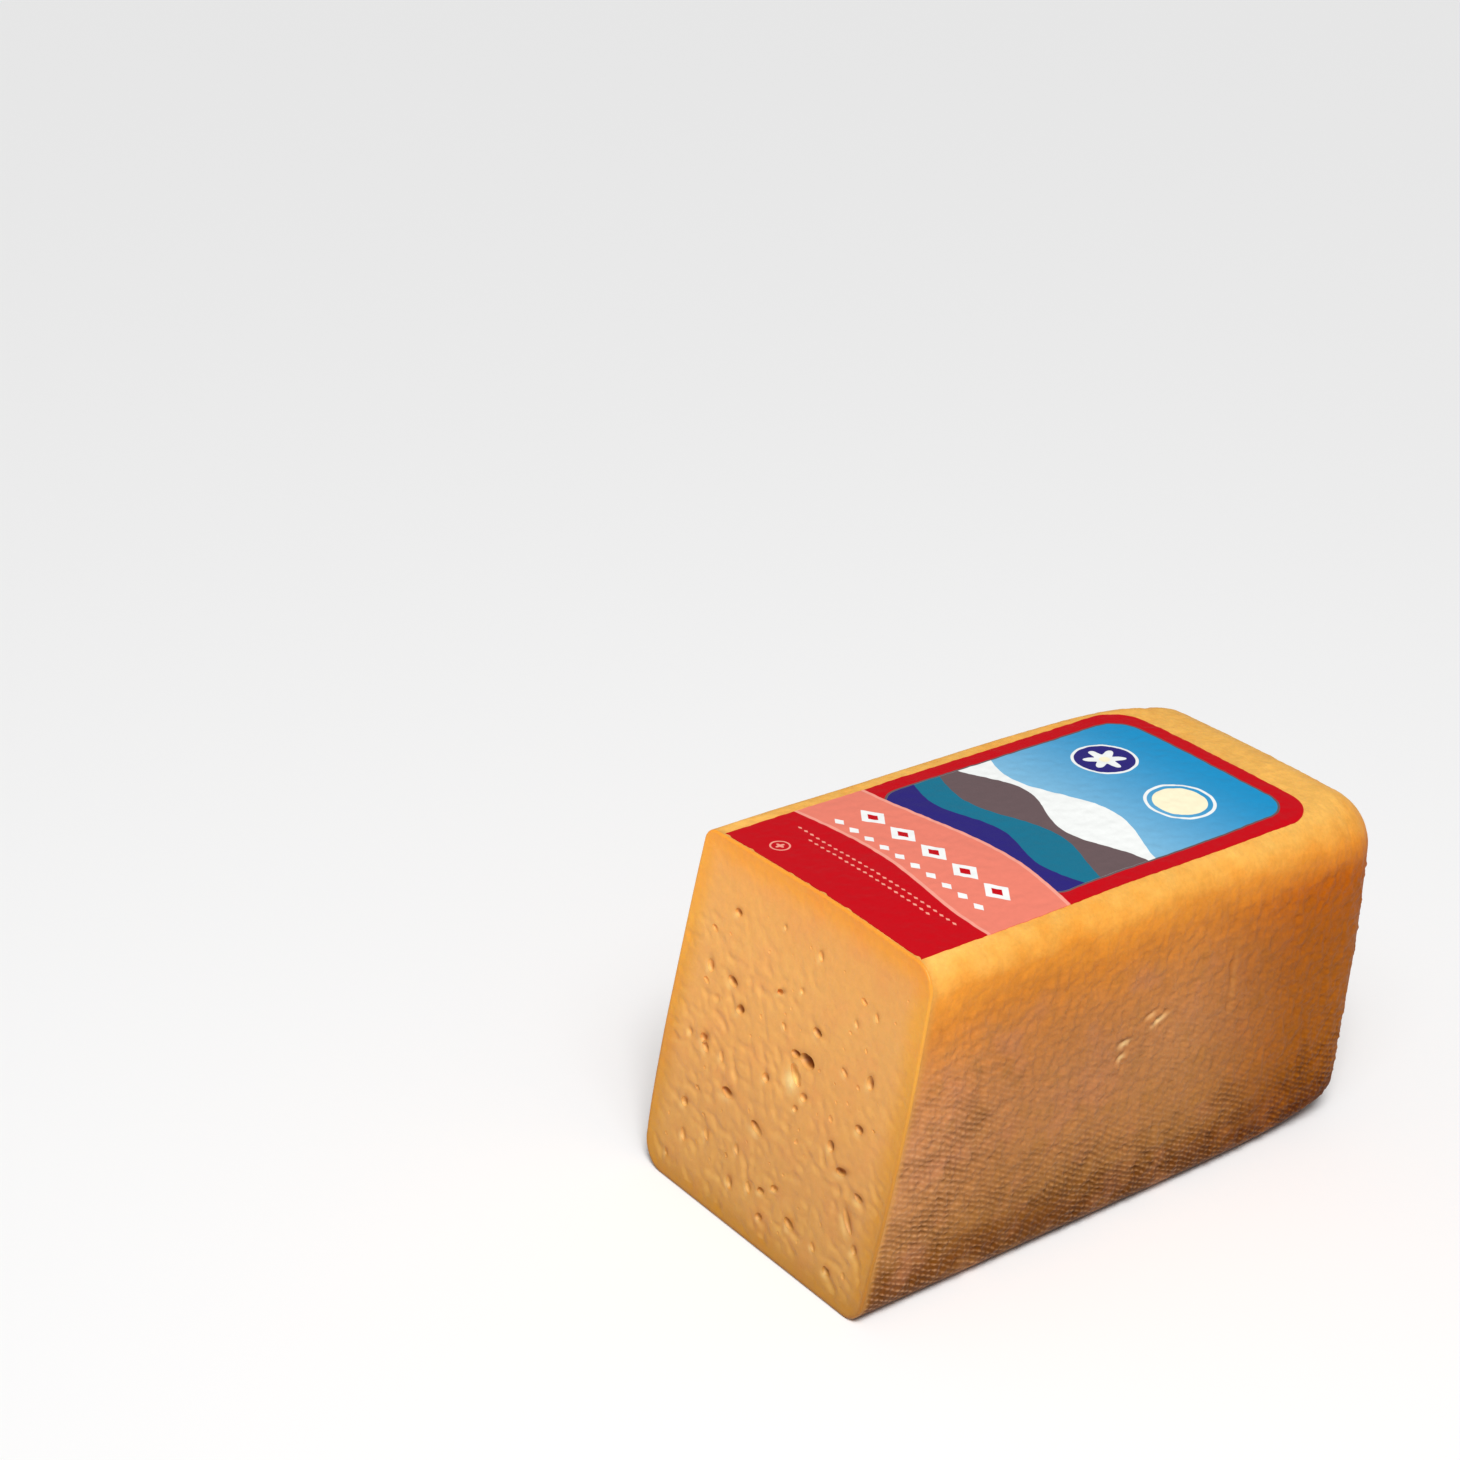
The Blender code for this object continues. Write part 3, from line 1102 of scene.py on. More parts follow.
@dataclass(frozen=True)
class ClothImprint:
    """The weave that the cheese cloth pressed into the rind, and the rind's soft dimples."""

    ridge_pitch: float = 0.0017
    bead_pitch: float = 0.0021
    slant: float = 27.5
    depth: float = 0.00050
    waver: float = 0.0024
    drift: float = 0.0060
    dimple: float = 0.0021
    wrinkle: float = 0.0013
    ridge_share: float = 0.36
    bead_share: float = 0.14
    waver_grain: Grain = Grain(130, 2, 31, middle=0.0)
    drift_grain: Grain = Grain(22, 1, 34, middle=0.0)
    wear: Grain = Grain(420, 2, 32, spread=1.3, middle=0.95)
    worn_patches: Patch = Patch(Grain(150, 2, 36), (0.34, 0.64), 0.75)
    least_worn: float = 0.45
    dimple_grain: Grain = Grain(340, 2, 33, middle=0.0)
    wrinkle_grain: Grain = Grain(420, 2, 35, middle=0.0)
    wrinkle_stretch: tuple[float, float, float] = (1.0, 1.0, 0.28)

    def tree(self) -> ShapeTree:
        """Builds the tree that sinks the weave's valleys into a panel.

        Returns:
            The tree, which reads where the weave runs and how hard it was pressed from the mesh.
        """
        sizes = ("Ridge pitch", "Bead pitch", "Slant", "Depth", "Waver", "Drift")
        sizes += ("Dimple depth", "Wrinkle depth")
        inputs = (*((size, "NodeSocketFloat") for size in sizes), ("Material", "NodeSocketMaterial"))
        made = ShapeTree("cloth_imprint", inputs)
        wiring, entry = made.wiring, made.entry.outputs
        place = wiring.node("GeometryNodeInputPosition").outputs[0]
        height = self.weave(wiring, entry, place)
        worn = wiring.plus(wiring.patches(place, self.worn_patches), self.least_worn)
        wear = wiring.times(wiring.noise(place, self.wear), worn)
        valley = wiring.times(wiring.minus(1.0, height), wear)
        valley = wiring.times(valley, self.carried(wiring, "pressure"))
        pit = wiring.times(self.pits(wiring, entry, place), self.carried(wiring, "lumps"))
        sink = wiring.scaled(valley, entry["Depth"], pit)
        push = wiring.node("ShaderNodeVectorMath", operation="SCALE")
        wiring.feed(push.inputs[0], wiring.node("GeometryNodeInputNormal").outputs[0])
        wiring.feed(push.inputs["Scale"], wiring.times(sink, -1.0))
        shape = entry["Geometry"]
        for name, value in (("imprint", valley), ("height", height)):
            stored = wiring.node("GeometryNodeStoreNamedAttribute", data_type="FLOAT", domain="POINT")
            stored.inputs["Name"].default_value = name
            wiring.feed(stored.inputs["Geometry"], shape)
            wiring.feed(stored.inputs["Value"], value)
            shape = stored.outputs[0]
        moved = wiring.node("GeometryNodeSetPosition")
        wiring.feed(moved.inputs["Geometry"], shape)
        wiring.feed(moved.inputs["Offset"], push.outputs[0])
        made.end(moved.outputs[0])
        return made

    def weave(self, wiring: Wiring, entry: Entries, place: Socket) -> Socket:
        """Finds the weave's height: slanting ridges, with beads along them in turns.

        Args:
            wiring: The tree's nodes.
            entry: The tree's inputs.
            place: The socket with the places.

        Returns:
            The height's socket, from 0 to 1.
        """
        along = self.carried(wiring, "weave_along")
        up = self.carried(wiring, "weave_up")
        cosine = wiring.math("COSINE", entry["Slant"])
        sine = wiring.math("SINE", entry["Slant"])
        thread = wiring.minus(wiring.times(along, cosine), wiring.times(up, sine))
        across = wiring.plus(wiring.times(along, sine), wiring.times(up, cosine))
        across = wiring.scaled(wiring.noise(place, self.waver_grain), entry["Waver"], across)
        across = wiring.scaled(wiring.noise(place, self.drift_grain), entry["Drift"], across)
        ridge = self.wave(wiring, across, entry["Ridge pitch"])
        turns = self.wave(wiring, across, wiring.times(entry["Ridge pitch"], 2.0))
        bead = wiring.times(self.wave(wiring, thread, entry["Bead pitch"]), turns)
        return wiring.scaled(ridge, self.ridge_share, wiring.scaled(bead, self.bead_share, 0.5))

    def pits(self, wiring: Wiring, entry: Entries, place: Socket) -> Socket:
        """Finds how deep the dimples and the upright wrinkles are together.

        Args:
            wiring: The tree's nodes.
            entry: The tree's inputs.
            place: The socket with the places.

        Returns:
            The depth's socket, about 0.
        """
        upright = wiring.node("ShaderNodeVectorMath", operation="MULTIPLY")
        wiring.feed(upright.inputs[0], place)
        upright.inputs[1].default_value = self.wrinkle_stretch
        dimple = wiring.times(wiring.noise(place, self.dimple_grain), entry["Dimple depth"])
        crease = wiring.noise(upright.outputs[0], self.wrinkle_grain)
        return wiring.scaled(crease, entry["Wrinkle depth"], dimple)

    def carried(self, wiring: Wiring, name: str) -> Socket:
        """Reads a number that the mesh carries, in a geometry tree.

        Args:
            wiring: The tree's nodes.
            name: The number's name.

        Returns:
            The number's socket.
        """
        made = wiring.node("GeometryNodeInputNamedAttribute", data_type="FLOAT")
        made.inputs["Name"].default_value = name
        return made.outputs[0]

    def wave(self, wiring: Wiring, value: Number, pitch: Number) -> Socket:
        """Makes a wave from -1 to 1 with the given pitch."""
        turns = wiring.math("DIVIDE", value, pitch)
        return wiring.math("COSINE", wiring.times(turns, 2 * math.pi))

    def values(self, material: Material) -> dict[str, object]:
        """Gives the tree's inputs their values."""
        return {
            "Ridge pitch": self.ridge_pitch,
            "Bead pitch": self.bead_pitch,
            "Slant": math.radians(self.slant),
            "Depth": self.depth,
            "Waver": self.waver,
            "Drift": self.drift,
            "Dimple depth": self.dimple,
            "Wrinkle depth": self.wrinkle,
            "Material": material,
        }


@dataclass(frozen=True)
class Mark:
    """A small gouge or crease in a panel: its place along and up, its half sizes and its depth."""

    along: float
    up: float
    length: float
    width: float
    turn: float
    depth: float
    pale: float


def ring_of(rows: int, columns: int) -> np.ndarray:
    """Lists the places round the outside of a grid, in order.

    Args:
        rows: How many rows of places the grid has.
        columns: How many places a row has.

    Returns:
        The places' numbers, in a grid that is numbered row by row.
    """
    grid = np.arange(rows * columns).reshape(rows, columns)
    return np.concatenate((grid[:-1, 0], grid[-1, :-1], grid[:0:-1, -1], grid[0, :0:-1]))


def grid_faces(rows: int, columns: int) -> np.ndarray:
    """Lists the faces of a grid, turned to face row axis by column axis.

    Args:
        rows: How many rows of places the grid has.
        columns: How many places a row has.

    Returns:
        The numbers of each face's four corners.
    """
    grid = np.arange(rows * columns).reshape(rows, columns)
    corners = (grid[:-1, :-1], grid[1:, :-1], grid[1:, 1:], grid[:-1, 1:])
    return np.stack(corners, -1).reshape(-1, 4)


def mesh_piece(name: str, points: np.ndarray, faces: list[list[int]]) -> Piece:
    """Puts points and faces into a new object in the scene.

    Args:
        name: The piece's name.
        points: The mesh's points.
        faces: The numbers of each face's points.

    Returns:
        The object.
    """
    mesh = bpy.data.meshes.new(name)
    mesh.from_pydata(points.tolist(), [], faces)
    mesh.update()
    mesh.shade_smooth()
    piece = bpy.data.objects.new(name, mesh)
    bpy.context.scene.collection.objects.link(piece)
    return piece


def carry(mesh: Mesh, name: str, values: np.ndarray) -> None:
    """Stores a named number for each point of a mesh."""
    made = mesh.attributes.new(name, "FLOAT", "POINT")
    made.data.foreach_set("value", np.ascontiguousarray(values, dtype=np.float32))


def lay_map(mesh: Mesh, shown: np.ndarray, hidden: np.ndarray, inner: np.ndarray) -> None:
    """Lays the mesh out flat for its finish.

    Args:
        mesh: The mesh.
        shown: Each point's place on the map, for the faces that show.
        hidden: Each point's place on the map, for the faces inside the cheese.
        inner: For each face, whether it lies inside.
    """
    corners = np.zeros(len(mesh.loops), dtype=np.int32)
    mesh.loops.foreach_get("vertex_index", corners)
    counts = np.zeros(len(mesh.polygons), dtype=np.int32)
    mesh.polygons.foreach_get("loop_total", counts)
    within = np.repeat(inner, counts)
    places = np.where(within[:, None], hidden[corners], shown[corners])
    layer = mesh.uv_layers.get(BAKE_MAP) or mesh.uv_layers.new(name=BAKE_MAP)
    layer.uv.foreach_set("vector", places.astype(np.float32).ravel())
    mesh.uv_layers.active = layer


def fit_square(values: np.ndarray, square: Span) -> np.ndarray:
    """Stretches places to fill a square of the map."""
    least, most = values.min(0), values.max(0)
    return square[0] + (values - least) / (most - least) * (square[1] - square[0])


def points_of(mesh: Mesh) -> np.ndarray:
    """Reads a mesh's points.

    Args:
        mesh: The mesh.

    Returns:
        The points, one in each row.
    """
    values = np.zeros(len(mesh.vertices) * 3)
    mesh.vertices.foreach_get("co", values)
    return values.reshape(-1, 3)


def normals_of(mesh: Mesh) -> np.ndarray:
    """Reads the normals at a mesh's points.

    Args:
        mesh: The mesh.

    Returns:
        The normals, one in each row.
    """
    values = np.zeros(len(mesh.vertices) * 3)
    mesh.vertex_normals.foreach_get("vector", values)
    return values.reshape(-1, 3)


def hand_over(piece: Piece, node: str) -> None:
    """Lets a finished piece ride on the part and stand for one of its solids.

    Args:
        piece: The piece.
        node: The solid that it stands for.
    """
    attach(piece, "root")
    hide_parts(node)
    triangles = sum(len(face.vertices) - 2 for face in piece.data.polygons)
    log.info("%s: %d points, %d triangles", piece.name, len(piece.data.vertices), triangles)


@dataclass
class RindPanel:
    """One side of the rind: a fine outer skin, with a plain inner wall that closes it."""

    side: Side
    form: LoafForm
    cut: KnifeCut
    rows: int
    columns: int
    pressure: Callable[[np.ndarray], np.ndarray]
    marks: tuple[Mark, ...] = ()
    edge_fade: float = 0.0030
    cut_fade: float = 0.0012
    wall: float = 0.0025
    wall_inset: float = 0.0012
    # Where the far sides turn browner and darker, partly as painted shade.
    brown_along: Rise = (0.108, 0.062)
    brown_across: Rise = (0.30, 0.60)
    shoulder: Rise = (0.083, 0.014)
    top_lumps: float = 0.30
    lump_fade: float = 0.0080
    foot_fade: float = 0.0090
    # Each mark is paler below its middle and darker above it: partly the scar's own pale rim, partly
    # painted highlight and painted shade as if lit from above.
    mark_spread: float = 1.6
    mark_pale_below: float = 0.7
    mark_dark_above: float = 0.5
    mark_dark_share: float = 0.6

    def cube(self) -> np.ndarray:
        """Places the panel's grid on the cube.

        Returns:
            The places, by row and column, with X, Y and Z in the last axis.
        """
        if self.side is Side.END:
            across = self.form.steps_across(self.rows)
            up = self.form.steps_up(self.columns)
            wide, high = np.meshgrid(across, up, indexing="ij")
            return np.stack((wide, np.ones_like(wide), high), -1)
        upright = self.side in (Side.RIGHT, Side.LEFT)
        steps = self.form.steps_up if upright else self.form.steps_across
        lines = steps(self.columns)
        fixed = np.full(self.columns, float(self.side.sign))
        across, up = (fixed, lines) if upright else (lines, fixed)
        near = self.cut.shares_along(self.form, across, up)
        share = near + (1 - near) * np.linspace(0, 1, self.rows)[:, None]
        station = self.form.station(share)
        wide = np.broadcast_to(across, station.shape)
        high = np.broadcast_to(up, station.shape)
        return np.stack((wide, station, high), -1)

    def freedom(self, grid: np.ndarray) -> np.ndarray:
        """Finds how free each point is to move: not at all at the seams and the cut.

        Args:
            grid: The panel's points, by row and column.

        Returns:
            Shares from 0 to 1.
        """
        row_step = np.linalg.norm(np.diff(grid, axis=0), axis=-1)
        column_step = np.linalg.norm(np.diff(grid, axis=1), axis=-1)
        from_near = np.concatenate((np.zeros((1, self.columns)), np.cumsum(row_step, 0)))
        from_low = np.concatenate((np.zeros((self.rows, 1)), np.cumsum(column_step, 1)), 1)
        to_far = from_near[-1] - from_near
        to_high = from_low[:, -1:] - from_low
        near_fade = self.edge_fade if self.side is Side.END else self.cut_fade
        fades = (from_near / near_fade, to_far / self.edge_fade)
        fades += (from_low / self.edge_fade, to_high / self.edge_fade)
        return np.prod([smooth(fade) for fade in fades], axis=0)

    def turned(self, cube: np.ndarray, points: np.ndarray) -> np.ndarray:
        """Finds how near each point is to the far upright corners, where the rind is browner and
        darker, partly as painted shade.

        Args:
            cube: The points' places on the cube.
            points: The points.

        Returns:
            The share for each point: 1 at the corners, 0 on the top and well away from them.
        """
        along = rising(points[:, 1] - self.cut.foot[1], *self.brown_along)
        corner = rising(np.abs(cube[:, 0]), *self.brown_across)
        below = 1 - rising(points[:, 2], *self.shoulder)
        return along * corner * below

    def lumps(self, points: np.ndarray) -> np.ndarray:
        """Finds how lumpy the rind is: less towards the top, and not at all at the cut and the foot.

        Args:
            points: The panel's points.

        Returns:
            The share for each point.
        """
        above = rising(points[:, 2], *self.shoulder)
        calm = smooth(self.cut.depth(points) / self.lump_fade) * smooth(points[:, 2] / self.foot_fade)
        return blend(1.0, self.top_lumps, above) * calm

    def sink_marks(self, points: np.ndarray) -> np.ndarray:
        """Presses the panel's marks into its points.

        Args:
            points: The panel's points, which are moved.

        Returns:
            How pale each point is because of a mark, partly as painted highlight, below 0 where its
            painted shade makes it darker.
        """
        pale = np.zeros(len(points))
        for mark in self.marks:
            turn = math.radians(mark.turn)
            along = points[:, self.side.row_axis] - mark.along
            up = points[:, self.side.column_axis] - mark.up
            first = (along * math.cos(turn) + up * math.sin(turn)) / mark.length
            second = (up * math.cos(turn) - along * math.sin(turn)) / mark.width
            strength = np.exp(-(first**2 + second**2))
            points -= self.side.outward * (mark.depth * strength)[:, None]
            lower = np.exp(-(first**2 + (second + self.mark_pale_below) ** 2) * self.mark_spread)
            upper = np.exp(-(first**2 + (second - self.mark_dark_above) ** 2) * self.mark_spread)
            pale += mark.pale * (lower - self.mark_dark_share * upper)
        return pale

    def faces(self) -> tuple[list[list[int]], int]:
        """Lists the faces of the skin, the walls round it and the lid behind it.

        Returns:
            The faces, and how many of them are the skin's.
        """
        skin = grid_faces(self.rows, self.columns)
        ring = ring_of(self.rows, self.columns)
        count = self.rows * self.columns
        inner = count + np.arange(len(ring))
        walls = np.stack((ring, np.roll(ring, -1), np.roll(inner, -1), inner), -1)
        turned = np.cross(np.eye(3)[self.side.row_axis], np.eye(3)[self.side.column_axis])
        if turned @ self.side.outward > 0:
            walls, inner = walls[:, ::-1], inner[::-1]
        else:
            skin = skin[:, ::-1]
        return [*skin.tolist(), *walls.tolist(), inner.tolist()], len(skin)

    def build(self, imprint: ClothImprint, tree: ShapeTree, finish: Material) -> Piece:
        """Builds the panel and dresses it.

        Args:
            imprint: The cloth's weave.
            tree: The tree that presses the weave in.
            finish: The rind's material.

        Returns:
            The finished piece.
        """
        cube = self.cube()
        grid = self.form.skin(cube)
        cube = cube.reshape(-1, 3)
        free = self.freedom(grid).ravel()
        points = grid.reshape(-1, 3).copy()
        pale = self.sink_marks(points)
        ring = ring_of(self.rows, self.columns)
        inward = points.mean(0) - points[ring]
        inward[:, self.side.axis] = 0
        inward /= np.linalg.norm(inward, axis=1, keepdims=True)
        inner = points[ring] + inward * self.wall_inset - self.side.outward * self.wall
        faces, shown = self.faces()
        piece = mesh_piece("rind_" + self.side.name.lower(), np.concatenate((points, inner)), faces)
        carried = {
            "weave_along": points[:, self.side.row_axis],
            "weave_up": points[:, self.side.column_axis],
            "pressure": self.pressure(points) * free,
            "lumps": self.lumps(points) * free,
            # Pale marks, partly painted highlight, with painted shade above them.
            "scar": pale,
            "turned": self.turned(cube, points),
            "from_cut": self.cut.depth(points),
        }
        for name, values in carried.items():
            carry(piece.data, name, np.concatenate((values, np.zeros(len(ring)))))
        tree.apply(piece, imprint.values(finish))
        self.finish_mesh(piece.data, cube[ring], ring, shown)
        return piece

    def finish_mesh(self, mesh: Mesh, cube: np.ndarray, ring: np.ndarray, shown: int) -> None:
        """Lays the panel's map, and gives its rim the whole loaf's normals, so that no seam shows.

        Args:
            mesh: The panel's plain mesh.
            cube: The rim's places on the cube.
            ring: The numbers of the rim's points.
            shown: How many faces are the skin's.
        """
        count = self.rows * self.columns
        flat = np.indices((self.rows, self.columns)).reshape(2, -1).T.astype(float)
        inner = np.arange(len(mesh.polygons)) >= shown
        spread = fit_square(np.concatenate((flat, flat[ring])), SHOWN_MAP)
        plan = points_of(mesh)[:, [self.side.row_axis, self.side.column_axis]]
        lay_map(mesh, spread, fit_square(plan, HIDDEN_MAP), inner)
        normals = normals_of(mesh)
        normals[ring] = self.form.normals(cube, self.side.axis)
        normals[count:] = normals[ring]
        mesh.normals_split_custom_set_from_vertices(normals.tolist())


@dataclass(frozen=True)
class Eye:
    """An eye in the paste: its place across and up the cut, its half sizes and its tilt."""

    place: tuple[float, float]
    size: tuple[float, float, float]
    tilt: float
    # Strengths of the painted highlight at the eye's low left and of the painted shade at its high
    # right.
    pale: float = 0.40
    dark: float = 0.55

    def spot(self, flat: np.ndarray, shift: tuple[float, float], spread: float) -> np.ndarray:
        """Finds how strongly a soft spot of painted light beside the eye shows.

        Args:
            flat: Distances across and up the cut.
            shift: How far the spot lies to the right and up, as shares of the eye's mean half size.
            spread: The spot's size as a share of the eye's.

        Returns:
            The strength at each place, 1 in the spot's middle.
        """
        turn = math.radians(self.tilt)
        reach = math.sqrt(self.size[0] * self.size[1])
        offset = flat - np.array(self.place) - np.array(shift) * reach
        first = offset[:, 0] * math.cos(turn) + offset[:, 1] * math.sin(turn)
        second = offset[:, 1] * math.cos(turn) - offset[:, 0] * math.sin(turn)
        return np.exp(-((first / self.size[0]) ** 2 + (second / self.size[1]) ** 2) / spread**2)


@dataclass(frozen=True)
class EyeScatter:
    """Where the eyes lie: the large and medium ones by name, the small and finest ones by a rule."""

    half_width: float
    rise: float
    large: tuple[Eye, ...]
    medium: tuple[Eye, ...]
    small_count: int = 24
    small_radius: Span = (0.0006, 0.0010)
    stretch: Span = (1.0, 1.8)
    small_depth: float = 1.0
    clear: float = 0.0045
    tilt: Span = (25, 85)
    spacing: float = 0.0052
    free_rim: float = 0.0070
    free_top: float = 0.0180
    seed: int = 7
    fine_count: int = 70
    fine_radius: Span = (0.00030, 0.00060)
    fine_spacing: float = 0.0021
    fine_side_rim: float = 0.0056
    fine_low_rim: float = 0.0049
    fine_free_top: float = 0.0100
    fine_seed: int = 23
    # Where the painted highlight and the painted shade lie beside each named eye, and how far they
    # spread.
    painted_highlight_shift: tuple[float, float] = (-0.55, -0.90)
    painted_highlight_spread: float = 0.75
    painted_shade_shift: tuple[float, float] = (0.25, 0.40)
    painted_shade_spread: float = 0.90

    def drawn(self, draw: random.Random, side: float, heights: Span, radii: Span) -> Eye:
        """Draws an eye at random.

        Args:
            draw: Where the random numbers come from.
            side: The greatest distance from the middle of the cut, across it.
            heights: The lowest and the highest place up the cut.
            radii: The least and the greatest radius.

        Returns:
            The eye.
        """
        place = Vector((draw.uniform(-side, side), draw.uniform(*heights)))
        radius = draw.uniform(*radii)
        stretch = draw.uniform(*self.stretch)
        tilt = draw.uniform(*self.tilt)
        return Eye(tuple(place), (radius, radius * stretch, radius * self.small_depth), tilt)

    def small(self) -> list[Eye]:
        """Scatters the small eyes, clear of the rim, of one another and of the named ones.

        Returns:
            The small eyes.
        """
        draw = random.Random(self.seed)
        taken = [Vector(eye.place) for eye in self.large]
        side = self.half_width - self.free_rim
        heights = (self.free_rim, self.rise - self.free_top)
        eyes: list[Eye] = []
        while len(eyes) < self.small_count:
            eye = self.drawn(draw, side, heights, self.small_radius)
            place = Vector(eye.place)
            if all((place - other).length > self.spacing for other in taken):
                taken.append(place)
                eyes.append(eye)
        named = [Vector(eye.place) for eye in self.medium]
        return [eye for eye in eyes if all((Vector(eye.place) - n).length > self.clear for n in named)]

    def fine(self, others: list[Eye]) -> list[Eye]:
        """Scatters the finest eyes between the others, fewer of them towards the top.

        Args:
            others: The eyes that are already there.

        Returns:
            The finest eyes.
        """
        draw = random.Random(self.fine_seed)
        taken = [(Vector(eye.place), max(eye.size[:2])) for eye in others]
        side = self.half_width - self.fine_side_rim
        heights = (self.fine_low_rim, self.rise - self.fine_free_top)
        eyes: list[Eye] = []
        while len(eyes) < self.fine_count:
            eye = self.drawn(draw, side, heights, self.fine_radius)
            place = Vector(eye.place)
            kept = draw.random() > (place.y / self.rise) ** 2
            clear = all((place - other).length > self.fine_spacing + reach for other, reach in taken)
            if kept and clear:
                taken.append((place, eye.size[0]))
                eyes.append(eye)
        return eyes

    def lit(self, flat: np.ndarray) -> np.ndarray:
        """Finds the painted light beside the named eyes, as if they were lit from the upper right.

        Args:
            flat: Distances across and up the cut.

        Returns:
            The share at each place: above 0 for painted highlight at the low left of an eye, below 0
                for painted shade at its high right.
        """
        pale = np.zeros(len(flat))
        for eye in (*self.large, *self.medium):
            pale += eye.pale * eye.spot(flat, self.painted_highlight_shift, self.painted_highlight_spread)
            pale -= eye.dark * eye.spot(flat, self.painted_shade_shift, self.painted_shade_spread)
        return pale

    def every(self) -> list[Eye]:
        """Lists all the eyes, the finest last."""
        main = [*self.large, *self.medium, *self.small()]
        return [*main, *self.fine(main)]


